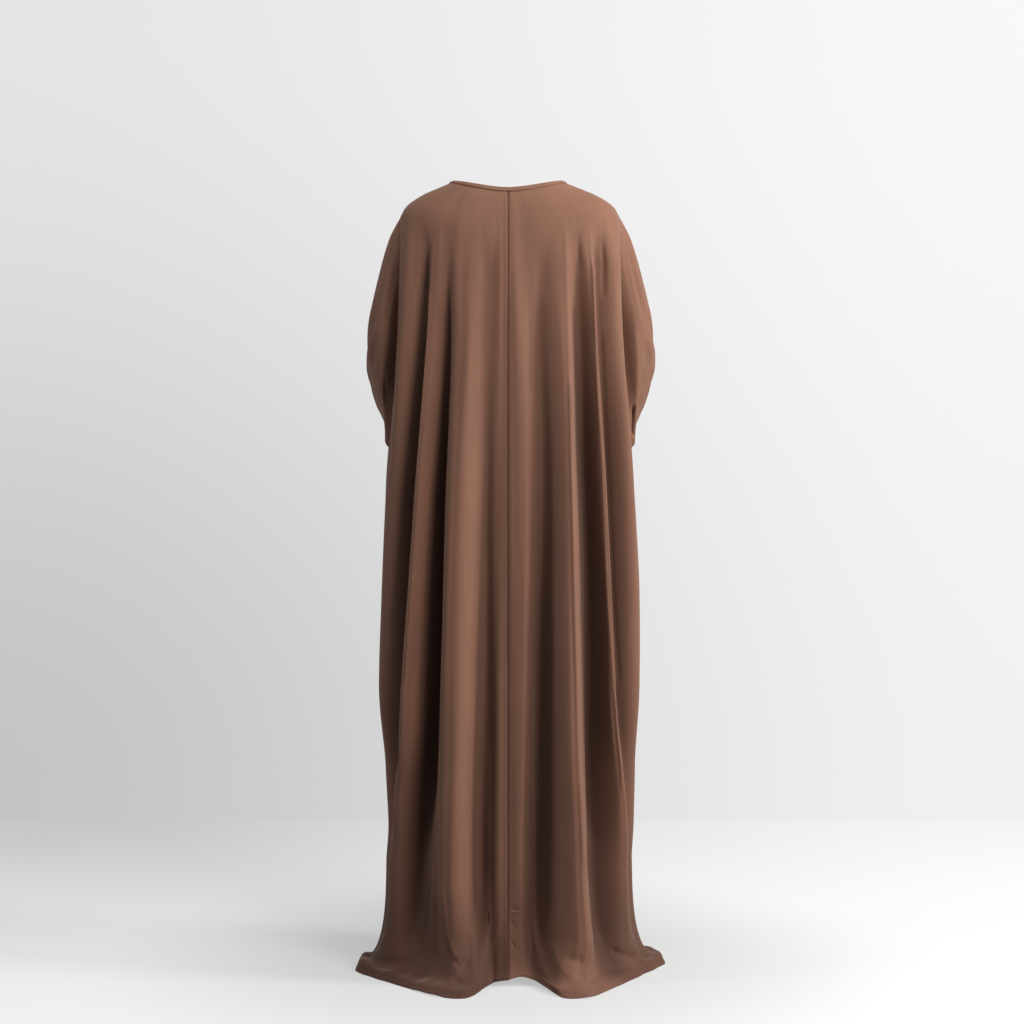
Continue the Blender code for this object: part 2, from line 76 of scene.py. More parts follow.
# The narrow hem round the bottom edge and the cuffs, and the roll of the cloth into a side seam.
HEM_WIDTH = 0.0085
HEM_RISE = 0.0007
HEM_GROOVE = 0.0006
HEM_SOFTNESS = 0.0011
SIDE_ROLL = 0.0010
ARMHOLE_ROLL = 0.0003
SIDE_ROLL_WIDTH = 0.0030
BORDER = (0.003, 0.016)

# Painted shade: the cloth's colour is darker in the folds' valleys than on their crests, at these depths in
# millimetres, and also at the flanks and at the trailing hem. Over the shoulders it is paler, a painted
# light.
VALLEY_DEPTH = -42
CREST_DEPTH = 15
FOLD_SHADE_STRENGTH = {LEFT: 0.78, RIGHT: 1.0}
HEM_FADE_LEVEL = 0.105
HEM_DEPTH_GAIN = 1.6
SHOULDER_PAINTED_LIGHT = 0.17
SHOULDER_PAINTED_LIGHT_HEIGHT = (0.95, 1.30)
FLANK_SHADE = {LEFT: 0.45, RIGHT: 0.62}
FLANK_TURN = (46, 62)
FLANK_HEIGHT = (0.08, 0.32)
HEM_SHADE = {LEFT: 1.0, RIGHT: 0.30}
HEM_SHADE_HEIGHT = 0.21

# A faint unevenness of the hanging cloth.
RIPPLE_SEED = 11
SLEEVE_RIPPLE_SEED = 16
RIPPLE_WAVES = 22
RIPPLE_GIRTH = 0.2
RIPPLE_FINENESS = (30, 190)
RIPPLE_FULL_FINENESS = 60
RIPPLE_SLANT = 5
RIPPLE_HEIGHT = 0.00042
RIPPLE_LEAST = 0.2
RIPPLE_CALM = (0.0, 0.28)

# The garment's girth at each level, in millimetres: half widths to the wearer's left and right,
# and how far the back and the front stand from the shoulder line.
RINGS = (
    # name, left, right, side_height, back, back_height, front, front_height
    ("neckline", 98, 98, 1430, 78, 1412, 100, 1325),
    ("collarbone", 124, 126, 1419, 90, 1392, 111, 1300),
    ("mid_shoulder", 159, 164.5, 1403, 100, 1362, 119, 1268),
    ("shoulder_point", 191, 198, 1374, 109, 1322, 124, 1232),
    ("upper_arm", 201, 209, 1300, 115, 1270, 127, 1185),
    ("chest", 209, 217, 1160, 121, 1150, 130, 1105),
    ("waist", 216, 225, 1030, 127, 1030, 131, 1010),
    ("underarm", 221, 229, 945, 130, 945, 132, 940),
    ("hip", 226, 233, 860, 133, 860, 134, 860),
    ("thigh", 231, 239, 680, 136, 680, 136, 680),
    ("knee", 233, 238, 520, 137, 520, 137, 520),
    ("calf", 222, 231, 370, 136, 370, 136, 370),
    ("shin", 221, 231, 270, 135, 270, 135, 270),
    ("ankle", 226, 228, 200, 134, 200, 134, 200),
)
SHOULDER_ROW = 3
UNDERARM_ROW = 7
ANKLE_ROW = len(RINGS) - 1
ALLOWANCE_TURN_ROWS = (1, SHOULDER_ROW + 1)
ARMHOLE_TOP_ROW = SHOULDER_ROW + 0.033
ARMHOLE_BOTTOM_ROW = UNDERARM_ROW - 0.0125

# How the cloth leaves the ankle and runs out on the floor: its level among the folds and its height
# in metres, the share of the way out to the hem's outline, and the share of the rolled edge's height.
HEM_PROFILE = (
    # name, level, height, reach, roll
    ("ankle", 0.200, 0.200, 0.00, 0.0),
    ("heel", 0.150, 0.138, 0.04, 0.0),
    ("fall", 0.105, 0.084, 0.13, 0.0),
    ("turn", 0.068, 0.042, 0.30, 0.0),
    ("trough", 0.038, 0.016, 0.56, 0.25),
    ("roll", 0.016, 0.0065, 0.84, 1.0),
    ("edge", 0.000, 0.000, 1.00, 0.0),
)
HEM_ROW = ANKLE_ROW + len(HEM_PROFILE) - 1
HEM_LIFT_END = 3.0
VENT_HEAD_ROWS = (1.19, 1.21, 1.23, 1.27, 1.29, 1.31, 1.36)

# The hem's outline on the floor, round from the centre back: the lobes that trail behind, the arch
# between them, the pointed corners at the sides and the plainer waves in front.
HEM_LEFT = (
    # turn_deg, radius_mm, height_mm, roll_mm
    (0, 155, 12, 0), (9, 155, 7, 1), (13, 176, 3, 3), (15, 228, 1, 5),
    (18, 249, 1, 5), (23, 256, 1, 4), (36, 249, 1, 3), (46, 244, 1, 4),
    (57, 247, 1, 5), (68, 261, 1, 9), (82, 279, 1, 14), (90, 273, 1, 13),
    (104, 248, 1, 9), (122, 224, 1, 7), (138, 232, 1, 11), (158, 196, 4, 5),
    (168, 200, 3, 7), (180, 176, 8, 2),
)
HEM_RIGHT = (
    # turn_deg, radius_mm, height_mm, roll_mm
    (0, 155, 12, 0), (9, 151, 16, 0), (17, 163, 11, 1), (20, 196, 6, 3),
    (22, 250, 1, 5), (26, 265, 1, 5), (31, 272, 1, 5), (40, 259, 1, 3),
    (49, 250, 1, 3), (59, 247, 1, 5), (73, 254, 1, 8), (84, 272, 1, 12),
    (93, 290, 1, 14), (100, 280, 1, 12), (112, 252, 1, 11), (128, 226, 1, 7),
    (142, 234, 1, 11), (160, 192, 4, 5), (170, 202, 3, 7), (180, 176, 8, 2),
)

# Each crest and valley runs from the neck to the hem: its name, how rounded it is, from 0, a knife
# edge, to 0.5, a soft wave, its bearing in degrees at each level, and its depth in millimetres at
# each level but the first and the last, where it is 0.
FOLDS_BEGIN = 1.385
FOLDS_FULL = 1.275
FOLD_LEVELS = (1.430, 1.300, 1.150, 0.870, 0.500, 0.200, 0.105, 0.000)
BACK_LEFT_FOLDS = (
    ("centre_seam", 0.00, (0,) * 8, (0,) * 6),
    ("seam_side", 0.40, (7.5, 7.5, 7.5, 7.5, 8.5, 9.5, 9, 6), (-1, -1, -1, -2, -1, -1)),
    ("soft_dip", 0.50, (15.5, 16, 17, 19, 21.5, 25, 22, 12), (-3, -4, -8, -17, -18, -10)),
    ("broad_fold", 0.45, (27, 29, 27, 26.5, 27, 31, 30.5, 17), (2, 6, 18, 25, 28, 19)),
    ("broad_fold_edge", 0.22, (38, 39.5, 37, 36, 37, 38, 37, 23), (3, 4, 18, 24, 23, 14)),
    ("deep_valley", 0.38, (45, 46, 50.5, 56, 61, 67, 65, 54), (-4, -22, -50, -60, -43, -36)),
    ("second_fold", 0.38, (51, 50, 49.5, 51, 55, 69, 68, 63), (2, 2, 11, 19, -9, -7)),
    ("second_fold_edge", 0.14, (57, 55, 54, 55, 58.5, 74, 73, 72), (3, 7, 15, 23, -3, -1)),
    ("outer_valley", 0.35, (66, 60.5, 62, 67.5, 72.5, 83, 82, 82), (-12, -27, -38, -34, -8, -10)),
    ("side_fold", 0.40, (76, 67, 66.5, 70.5, 77, 92, 92, 93), (6, 6, 0, 0, -3, -4)),
    ("side_round", 0.50, (83, 76, 78, 85, 91, 108, 112, 113), (0, -5, -3, 2, -2, 2)),
)
BACK_RIGHT_FOLDS = (
    ("centre_seam", 0.00, (0,) * 8, (0,) * 6),
    ("flat_fold", 0.45, (7, 7, 8, 7, 7, 6, 6, 7), (0, 4, 5, 4, 3, -2)),
    ("flat_fold_edge", 0.40, (17.5, 17.5, 17, 16, 12.5, 11, 11, 12), (-1, 0, 1, -1, -4, -9)),
    ("wide_valley", 0.42, (29, 28, 28.5, 31, 30.5, 30.5, 29, 18), (-5, -10, -22, -38, -44, -42)),
    ("bright_fold", 0.40, (39, 38, 36, 34.5, 33.5, 35.5, 36, 23), (1, 10, 17, 22, 27, 26)),
    ("bright_fold_edge", 0.14, (46, 44, 41, 38, 38.5, 41, 42, 32), (3, 11, 23, 28, 36, 36)),
    ("deep_valley", 0.38, (54, 51.5, 55, 62, 65, 65, 64, 56), (-4, -18, -42, -48, -44, -40)),
    ("second_fold", 0.30, (59, 54, 54.5, 55, 56.5, 71, 70, 63), (5, 7, 5, 12, -10, -9)),
    ("second_fold_edge", 0.20, (64, 57, 56.5, 56.5, 58.3, 75, 74, 73), (6, 11, 14, 21, -2, 0)),
    ("outer_valley", 0.35, (71, 63.5, 64, 71, 76, 83, 82, 82), (-12, -24, -42, -42, -9, -9)),
    ("side_fold", 0.35, (79, 68, 69, 74, 79, 92, 92, 93), (9, 6, 3, -4, -1, -2)),
    ("side_round", 0.50, (85, 77, 78, 85, 91, 108, 112, 114), (2, -4, -2, 2, 1, 4)),
)
FRONT_LEFT_FOLDS = (
    ("side_fold", 0.35, (105, 112, 117, 107, 114, 127, 129, 130), (3, 7, 11, 14, 12, 7)),
    ("side_valley", 0.35, (118, 122, 126, 119, 126, 136, 138, 140), (-5, -14, -22, -28, -24, -14)),
    ("mid_fold", 0.30, (132, 134, 136, 133, 138, 147, 149, 151), (3, 8, 14, 18, 16, 9)),
    ("mid_valley", 0.35, (146, 146, 148, 148, 150, 157, 159, 160), (-4, -11, -17, -22, -19, -11)),
    ("inner_fold", 0.35, (162, 160, 161, 162, 162, 167, 168, 168), (3, 6, 10, 13, 11, 6)),
)
FRONT_RIGHT_FOLDS = (
    ("side_fold", 0.35, (106, 113, 118, 108, 116, 128, 130, 132), (3, 6, 10, 14, 13, 8)),
    ("side_valley", 0.35, (120, 124, 129, 121, 129, 138, 141, 143), (-4, -13, -20, -24, -22, -13)),
    ("mid_fold", 0.30, (135, 137, 139, 137, 142, 150, 153, 155), (3, 8, 15, 19, 17, 10)),
    ("mid_valley", 0.35, (150, 150, 152, 153, 155, 160, 162, 163), (-5, -12, -19, -24, -20, -12)),
    ("inner_fold", 0.35, (166, 164, 165, 166, 166, 170, 171, 171), (2, 5, 9, 11, 10, 6)),
)
CENTRE_FRONT = ("centre_front", 0.50, (180,) * 8, (-1, -4, -7, -9, -8, -5))

# Where the back and the front end at the side: one shoulder seam, the two edges of the armhole,
# and one side seam that the folds carry forward on its way down.
SIDE_EDGES = (
    # level, back_turn_deg, front_turn_deg, depth_mm
    (1.430, 90, 90, 0),
    (1.374, 90, 90, 0),
    (1.337, 84.5, 95.5, -1),
    (1.300, 81.5, 100.5, -3),
    (1.160, 83.5, 106, -7),
    (1.030, 86.5, 103, -8),
    (0.945, 91, 91, -7),
    (0.860, 93.5, 93.5, -8),
    (0.520, 103, 103, -12),
    (0.200, 116, 116, -10),
    (0.000, 121, 121, 0),
)

# The left sleeve from the shoulder round the elbow to the wrist, as upright sections: sizes in
# millimetres, then the share of the height where it is widest, and the sharpness of its bottom.
SLEEVE_SECTIONS = (
    # name, outer_x, outer_y, inner_x, inner_y, under_x, under_y, top, bottom, widest, sharpness
    ("shoulder", 223, 30, 206, -58, 223.5, -12, 1330, 958, 0.55, 0.80),
    ("upper_arm", 244, 12, 210, -62, 222.5, -27, 1280, 966, 0.57, 0.82),
    ("elbow_back", 259, -28, 208, -72, 223.5, -54, 1226, 974, 0.57, 0.80),
    ("elbow", 262, -84, 199, -96, 219, -92, 1180, 981, 0.56, 0.74),
    ("forearm", 250, -144, 180, -130, 215, -137, 1152, 988, 0.54, 0.65),
    ("lower_arm", 226, -207, 149, -175, 187.5, -191, 1134, 998, 0.52, 0.56),
    ("cuff", 195, -266, 113, -228, 154, -247, 1122, 1010, 0.50, 0.50),
)
RIGHT_SLEEVE_REACH = 1.030
TOP_SHARPNESS = 0.52
SLEEVE_ROWS = 72
SLEEVE_FOLD_END = 0.5
SLEEVE_FOLD_FULL = 0.7
SIDEWAYS_FOLDS = 0.40
SIDEWAYS_FACING = (0.25, 0.65)
BACK_FACING = (0.0, 0.35)
# How far the sleeves' painted shade is eased towards the crests' colour, in millimetres of depth.
SLEEVE_SHADE_OFFSET = 8
CUFF_STITCH_PLACE = 0.0082
CUFF_STITCH_RISE = 0.0003
SECTION_STEPS = 14

CREASE_FADE = 0.025
CREASE_FADE_SHARE = 0.22

# Creases and small ridges of the back, by where they show from behind.
BACK_CREASES = {
    # name, width_mm, depth_mm, ((across_mm, height_mm), ...)
    LEFT: (
        ("broad_fold_line", 4.0, 1.9, ((120, 145), (110, 58), (102, 25), (87, 3), (67, -10))),
        ("beside_the_line", 6.0, -1.2, ((133, 127), (124, 54), (111, 18))),
        ("thin_line", 3.5, 1.5, ((78, 245), (78, 107), (86, 39))),
        ("lobe_line", 3.5, 2.1, ((73, 76), (64, 38), (64, -8), (56, -32))),
        ("slanting_line", 3.5, 1.2, ((9, 118), (20, 63), (38, 9))),
        ("lobe_cup", 9.0, -3.6, ((102, 10), (85, 1), (69, -2))),
        ("lobe_hollow", 6.0, -2.4, ((102, -26), (85, -33))),
        ("toe_hollow", 8.0, -4.0, ((262, 9), (218, 5), (171, 7))),
        ("faint_dip", 8.0, -0.8, ((35, 1287), (38, 1000), (44, 745))),
        ("faint_swell", 7.0, 0.6, ((53, 1309), (56, 964))),
        ("shoulder_pleat", 4.0, -1.6, ((135, 1360), (142, 1287), (146, 1218))),
        ("shoulder_swell", 4.5, 1.2, ((122, 1353), (127, 1273), (129, 1182))),
        ("small_pleat", 3.5, -1.4, ((166, 1342), (171, 1287), (173, 1233))),
    ),
    RIGHT: (
        ("bright_swell", 6.0, 1.0, ((-104, 1355), (-107, 1218), (-111, 1073), (-115, 927))),
        ("bright_line", 3.2, 2.4, (
            (-113, 1082), (-116, 891), (-122, 636), (-129, 418), (-138, 218), (-146, 127), (-153, 49),
            (-151, -2), (-142, -37),
        )),
        ("beside_bright_line", 4.0, -1.2, (
            (-118, 1218), (-126, 891), (-135, 636), (-144, 418), (-153, 218),
        )),
        ("second_line", 3.0, 1.6, (
            (-153, 1291), (-162, 1073), (-171, 927), (-182, 673), (-193, 509), (-204, 400),
            (-209, 309),
        )),
        ("beside_second_line", 3.0, -1.6, (
            (-169, 1164), (-175, 1036), (-182, 909), (-193, 673), (-204, 509),
        )),
        ("lobe_edge", 4.5, 1.3, ((-87, 39), (-91, 9), (-102, -11), (-122, -28), (-142, -41))),
        ("lobe_cup", 9.0, -3.2, ((-106, 14), (-122, 9), (-140, 7))),
        ("small_cup", 6.0, -2.0, ((-126, -21), (-144, -24))),
        ("toe_line", 3.5, 1.2, ((-155, 63), (-173, 36))),
        ("toe_trough", 7.0, -3.6, ((-182, 34), (-201, 21), (-231, 14), (-262, 21))),
        ("vent_head", 1.5, -1.0, ((2, 102), (-22, 102))),
        ("vent_fold", 1.8, 0.6, ((2, 97), (-24, 97))),
        ("pucker_high", 3.2, -1.4, ((0, 90), (-13, 67))),
        ("pucker_low", 3.2, -1.4, ((0, 54), (-15, 27))),
        ("faint_swell", 7.0, 0.7, ((-15, 1287), (-18, 1000), (-20, 745))),
        ("faint_dip", 7.0, -0.8, ((-38, 1287), (-40, 1036))),
        ("shoulder_pleat", 4.5, -2.2, ((-169, 1333), (-173, 1287), (-173, 1218))),
        ("shoulder_swell", 3.5, 1.4, ((-151, 1337), (-156, 1218), (-160, 1136))),
        ("small_pleat", 3.5, -1.3, ((-127, 1327), (-129, 1273))),
    ),
}

# The sleeves' creases that show from behind, in the same way.
SLEEVE_CREASES = {
    # name, width_mm, depth_mm, ((across_mm, height_mm), ...)
    LEFT: (
        ("outer_ridge", 2.8, 1.3, ((213, 1287), (236, 1193), (244, 1116), (236, 1076), (220, 1007))),
        ("outer_trough", 4.5, -1.2, ((202, 1280), (222, 1182), (229, 1095), (216, 1027))),
        ("cape_trough", 2.8, -1.6, ((189, 1327), (202, 1218), (211, 1073), (216, 971))),
    ),
    RIGHT: (
        ("outer_ridge", 2.8, 1.3, ((-217, 1333), (-247, 1209), (-260, 1127), (-256, 1069), (-240, 1015))),
        ("outer_trough", 4.5, -1.2, ((-207, 1318), (-233, 1200), (-242, 1109), (-240, 1051))),
    ),
}

# The dark hollow between the right sleeve and the body, above the cuff.
SLEEVE_HOLLOW = ("hollow", 4.2, -10.0, ((-227, 1029), (-231, 1007), (-230, 967)))
HOLLOW_BORDER = (0.0003, 0.0018)
HOLLOW_END = (0.012, 0.017)

# The sleeves' larger folds: along the sleeve in sections from the armhole, round it in shares
# from the top down its outer wall, under it and up its inner wall.
SLEEVE_FOLDS = (
    # name, width_share, depth_mm, ((section, share_round), ...)
    ("shoulder_fold", 0.028, -3.0, ((0.6, 0.10), (1.6, 0.17), (2.8, 0.20))),
    ("elbow_high", 0.030, 3.5, ((1.8, 0.12), (3.2, 0.17), (4.6, 0.19))),
    ("elbow_mid", 0.028, -4.5, ((1.6, 0.24), (3.2, 0.27), (5.0, 0.29))),
    ("elbow_low", 0.028, 2.5, ((1.4, 0.33), (3.0, 0.36), (5.6, 0.37))),
    ("hanging", 0.024, -2.0, ((1.0, 0.40), (2.4, 0.44), (4.2, 0.46))),
    ("forearm_top", 0.026, -3.0, ((3.8, 0.08), (5.2, 0.11), (6.7, 0.10))),
    ("forearm_low", 0.022, -1.5, ((4.8, 0.41), (5.8, 0.42), (6.8, 0.42))),
    ("inner_high", 0.030, -4.0, ((1.2, 0.88), (2.6, 0.85), (4.6, 0.88))),
    ("inner_mid", 0.028, 2.5, ((1.6, 0.79), (3.4, 0.76), (5.6, 0.77))),
    ("inner_low", 0.030, -4.5, ((1.2, 0.68), (3.0, 0.65), (5.4, 0.66))),
    ("inner_cuff", 0.026, -2.5, ((5.0, 0.90), (6.0, 0.92), (6.8, 0.91))),
)

# The neck binding's folded section, down from the neck's edge and out from the cloth.
BINDING_SECTION = (
    # down_mm, out_mm
    (8.3, 0.3), (8.1, 1.0), (7.2, 1.4), (5.0, 1.5), (2.5, 1.5),
    (0.6, 1.3), (-0.4, 0.7), (-0.8, -0.5), (-0.4, -1.7), (0.6, -2.3),
    (2.5, -2.6), (5.0, -2.7), (7.2, -2.7), (8.1, -2.4), (8.3, -1.8),
)
BINDING_STEPS = 260
BINDING_CLOTH = 0.0005
BINDING_STITCHES = (0.0068, 0.00155)
NECK_SLOPE_ROW = 0.25

STITCH_PITCH = 0.0031
STITCH_LENGTH = 0.0023
STITCH_RADIUS = 0.00042
STITCH_SIDES = 6
STITCH_STATIONS = (-0.5, -0.38, -0.15, 0.15, 0.38, 0.5)
STITCH_SIZES = (0.25, 0.75, 1.0, 1.0, 0.75, 0.25)

VENT_TOP = 0.130
VENT_BOTTOM = 0.030
VENT_WIDTH = 0.025
VENT_STANDOFF = 0.0010
VENT_STITCH_RISE = 0.0001
VENT_STITCH_DROP = 0.002

# The crepe's colour on the folds' crests, its painted shade at the bottom of their valleys, and the thread's
# colour.
CREST_COLOUR = (0.130, 0.0585, 0.036, 1.0)
VALLEY_SHADE_COLOUR = (0.044, 0.0165, 0.009, 1.0)
THREAD_COLOUR = (0.060, 0.027, 0.017, 1.0)
THREAD_SHADE = 0.7
THREAD_ROUGHNESS = 0.6
THREAD_GRAIN_SCALE = 2500
CLOTH_SURFACE = {
    "Roughness": 0.80,
    "Specular IOR Level": 0.22,
    "Sheen Weight": 0.12,
    "Sheen Roughness": 0.45,
    "Sheen Tint": (0.95, 0.72, 0.58, 1.0),
}
CLOTH_TONES = (
    # kind, scale, detail, stretch_down, change_of_tone
    ("grain", 900, 2.0, 0.8, 0.07),
    ("clouds", 28, 3.0, 0.35, 0.05),
    ("streaks", 160, 2.0, 0.02, 0.035),
)
NOISE_RANGE = {"From Min": 0.3, "From Max": 0.7}
GRAIN_BUMP = {"Strength": 0.35, "Distance": 0.0003}

CAMERA_X = -0.0073
CAMERA_DISTANCE = 4.0
CAMERA_HEIGHT = 1.0
CAMERA_AIM_HEIGHT = 0.8326
CAMERA_LENS = 77.3
CAMERA_SENSOR = 36.0

# The studio's pale greys, left and right as the camera sees them: at the far end, then near.
# They are painted light: the floor and the wall glow in them, and the floor has a painted shadow round the
# garment.
FLOOR_FAR_EDGE = -1.46
FLOOR_HALF_WIDTH = 6.0
FLOOR_ACROSS = (1.2, -1.2)
FLOOR_ALONG = (-1.46, 0.6)
FLOOR_GREYS = (0.60, 0.93, 0.84, 0.92)
FLOOR_SHADOW_SHARE = 0.24
FLOOR_SHADOW = {"From Min": 0.20, "From Max": 0.85, "To Min": 0.72}
WALL_ACROSS = (0.24, -0.24)
WALL_ALONG = (-0.16, 0.18)
WALL_GREYS = (0.55, 0.88, 0.78, 0.94)

LIGHTS = (
    # name, place, target, size, power, colour
    ("key", (-2.1, 3.1, 0.7), (0.0, 0.0, -0.6), (1.5, 1.6), 148, (1.0, 0.985, 0.95)),
    ("side_right", (-3.0, 0.7, 0.7), (-0.2, 0.0, -0.2), (0.7, 1.1), 140, (1.0, 0.99, 0.97)),
    ("side_left", (3.1, 0.9, 0.3), (0.0, 0.1, -0.5), (0.7, 1.8), 42, (1.0, 1.0, 1.0)),
    ("top", (-0.4, 0.9, 2.2), (0.0, 0.0, -0.5), (1.2, 1.2), 54, (1.0, 1.0, 1.0)),
)


def column(table, place):
    """One column of a table, as an array."""
    return np.array([row[place] for row in table], dtype=float)


def smooth_curve(knots, values, places):
    """A smooth curve through values at rising or falling knots, read at many places."""
    knots = np.asarray(knots, dtype=float)
    values = np.asarray(values, dtype=float)
    if knots[0] > knots[-1]:
        knots = knots[::-1]
        values = values[::-1]
    steps = np.diff(values) / np.diff(knots)
    slopes = np.empty(len(knots))
    slopes[0] = steps[0]
    slopes[-1] = steps[-1]
    product = steps[:-1] * steps[1:]
    total = np.where(product > 0, steps[:-1] + steps[1:], 1.0)
    slopes[1:-1] = np.where(product > 0, 2 * product / total, 0.0)
    places = np.clip(np.asarray(places, dtype=float), knots[0], knots[-1])
    index = np.clip(np.searchsorted(knots, places, side="right") - 1, 0, len(knots) - 2)
    span = knots[index + 1] - knots[index]
    share = (places - knots[index]) / span
    square = share * share
    cube = square * share
    return (
        (2 * cube - 3 * square + 1) * values[index]
        + (cube - 2 * square + share) * span * slopes[index]
        + (3 * square - 2 * cube) * values[index + 1]
        + (cube - square) * span * slopes[index + 1]
    )


def smooth_step(places, low, high):
    """0 below low, 1 above high, and a soft rise between them."""
    share = np.clip((places - low) / (high - low), 0.0, 1.0)
    return share * share * (3 - 2 * share)


def level_at(rows):
    """The level that the fold tables are read at."""
    body = smooth_curve(np.arange(len(RINGS)), column(RINGS, 3) / 1000, rows)
    hem = smooth_curve(np.arange(len(HEM_PROFILE)), column(HEM_PROFILE, 1), rows - ANKLE_ROW)
    return np.where(rows <= ANKLE_ROW, body, hem)


def girth_radius(half_width, half_depth, turn):
    """The distance from the middle to a rounded outline at each bearing."""
    across = (np.abs(np.sin(turn)) / half_width) ** ROUNDNESS
    along = (np.abs(np.cos(turn)) / half_depth) ** ROUNDNESS
    return 1.0 / (across + along) ** (1.0 / ROUNDNESS)


def cloth_points(bearings, depths, rows):
    """Points of the body's cloth, for bearings and depths that have a line for each row."""
    rows = np.asarray(rows, dtype=float)[:, None]
    bearings = np.asarray(bearings, dtype=float)
    bearings = np.where(bearings < -180, bearings + 360, bearings)
    side = np.where(bearings >= 0, 1.0, -1.0)
    turn_deg = np.abs(bearings)
    turn = np.radians(turn_deg)
    ring_rows = np.minimum(rows, ANKLE_ROW)
    places = np.arange(len(RINGS))
    left, right, side_height, back, back_height, front, front_height = (
        smooth_curve(places, column(RINGS, index) / 1000, ring_rows) for index in range(1, 8)
    )
    half_width = np.where(side > 0, left, right)
    is_back = turn < math.pi / 2
    half_depth = np.where(is_back, back, front)
    middle_height = np.where(is_back, back_height, front_height)
    radius = girth_radius(half_width, half_depth, turn) + np.asarray(depths) / 1000
    height = side_height + (middle_height - side_height) * np.cos(turn) ** 2
    place = rows - ANKLE_ROW
    hem = [
        np.where(
            side > 0,
            smooth_curve(column(HEM_LEFT, 0), column(HEM_LEFT, index) / 1000, turn_deg),
            smooth_curve(column(HEM_RIGHT, 0), column(HEM_RIGHT, index) / 1000, turn_deg),
        )
        for index in (1, 2, 3)
    ]
    steps = np.arange(len(HEM_PROFILE))
    fall, reach, roll = (smooth_curve(steps, column(HEM_PROFILE, index), place) for index in (2, 3, 4))
    hem_radius = radius + (hem[0] - radius) * reach
    hem_height = fall + hem[1] * smooth_step(place, 0.0, HEM_LIFT_END) + roll * hem[2]
    radius = np.where(rows > ANKLE_ROW, hem_radius, radius)
    height = np.where(rows > ANKLE_ROW, hem_height, height)
    return np.stack(
        (side * radius * np.sin(turn), radius * np.cos(turn), height - MOUNT_HEIGHT), axis=-1
    )


def gap_turn(bearings, rows, gap):
    """The bearing that a gap along the cloth takes up, at one bearing for each row."""
    points = cloth_points(np.asarray(bearings)[:, None], 0.0, rows)[:, 0]
    return np.degrees(gap / np.hypot(points[:, 0], points[:, 1]))


def body_rows():
    """The rows of the body's grid."""
    rows = [0.0]
    back_heights = column(RINGS, 5) / 1000
    for index in range(ANKLE_ROW):
        drop = back_heights[index] - back_heights[index + 1]
        steps = max(1, math.ceil(drop / ROW_SPACING))
        rows.extend(index + step / steps for step in range(1, steps + 1))
    for index in range(ANKLE_ROW, HEM_ROW):
        rows.extend(index + step / HEM_STEPS for step in range(1, HEM_STEPS + 1))
    rows.extend(ANKLE_ROW + place for place in VENT_HEAD_ROWS)
    return np.array(sorted(rows))


def side_edge(side, rows, is_back, is_sleeve=False):
    """The bearing and depth of the back's or the front's edge at the side, or of the sleeve's beside it."""
    knots = column(SIDE_EDGES, 0)
    levels = level_at(rows)
    turn = smooth_curve(knots, column(SIDE_EDGES, 1 if is_back else 2), levels)
    apart = gap_turn(side * turn, rows, SEAM_GAP)
    turn = turn + apart if is_back == is_sleeve else turn - apart
    return side * turn, smooth_curve(knots, column(SIDE_EDGES, 3), levels)


def fold_lines(folds, levels, side):
    """Each fold's bearings, depths and roundness, a column for each fold."""
    bearings = np.stack([side * smooth_curve(FOLD_LEVELS, fold[2], levels) for fold in folds], axis=1)
    depths = np.stack([smooth_curve(FOLD_LEVELS, (0, *fold[3], 0), levels) for fold in folds], axis=1)
    depths *= 1 - smooth_step(levels, FOLDS_FULL, FOLDS_BEGIN)[:, None]
    return bearings, depths, [fold[1] for fold in folds]


def rounded_path(bearings, depths, roundness, step_counts):
    """A path through the stops of each row, with an arc at every stop between the two ends."""
    flank_steps, arc_steps = step_counts
    corners = depths.copy()
    for _ in range(COMPENSATION_ROUNDS):
        for place in range(1, depths.shape[1] - 1):
            bend = corners[:, place - 1] + corners[:, place + 1] - 2 * corners[:, place]
            corners[:, place] = depths[:, place] - ARC_INSET * roundness[place] * bend
    stops = np.stack((bearings, corners), axis=-1)
    path = [stops[:, 0]]
    last = stops[:, 0]
    for place in range(1, stops.shape[1] - 1):
        here = stops[:, place]
        start = here + (stops[:, place - 1] - here) * roundness[place]
        end = here + (stops[:, place + 1] - here) * roundness[place]
        path.extend(last + (start - last) * step / flank_steps for step in range(1, flank_steps + 1))
        for step in range(1, arc_steps + 1):
            share = step / arc_steps
            path.append((1 - share) ** 2 * start + 2 * share * (1 - share) * here + share**2 * end)
        last = end
    path.extend(last + (stops[:, -1] - last) * share for share in SIDE_SEAM_SHARES)
    path.append(stops[:, -1])
    path = np.stack(path, axis=1)
    return path[..., 0], path[..., 1]


def back_path(side, folds, rows):
    """The bearings and depths of one back panel, from the centre seam to the side edge."""
    levels = level_at(rows)
    bearings, depths, roundness = fold_lines(folds, levels, side)
    middle = np.zeros(len(rows))
    bearings[:, 0] = gap_turn(middle, rows, LAP_EDGE[side])
    edge, depth = side_edge(side, rows, True)
    bearings = np.column_stack((bearings, edge))
    depths = np.column_stack((depths, depth))
    bearings, depths = rounded_path(bearings, depths, roundness + [0.0], BACK_STEPS)
    turned = side * (bearings - bearings[:, :1])
    strip = np.column_stack([gap_turn(middle, rows, distance) for distance in SEAM_COLUMNS])
    beyond = int(np.argmax((turned > strip[:, -1:] * SEAM_STRIP_MARGIN).all(axis=0)))
    gap = turned[:, beyond:beyond + 1] - strip[:, -1:]
    strip = np.column_stack((strip, strip[:, -1:] + gap * BESIDE_STRIP_SHARES))
    beside = np.array([np.interp(*line) for line in zip(strip, turned, depths)])
    return (
        np.column_stack((bearings[:, 0], bearings[:, :1] + side * strip, bearings[:, beyond:])),
        np.column_stack((depths[:, 0], beside, depths[:, beyond:])),
    )


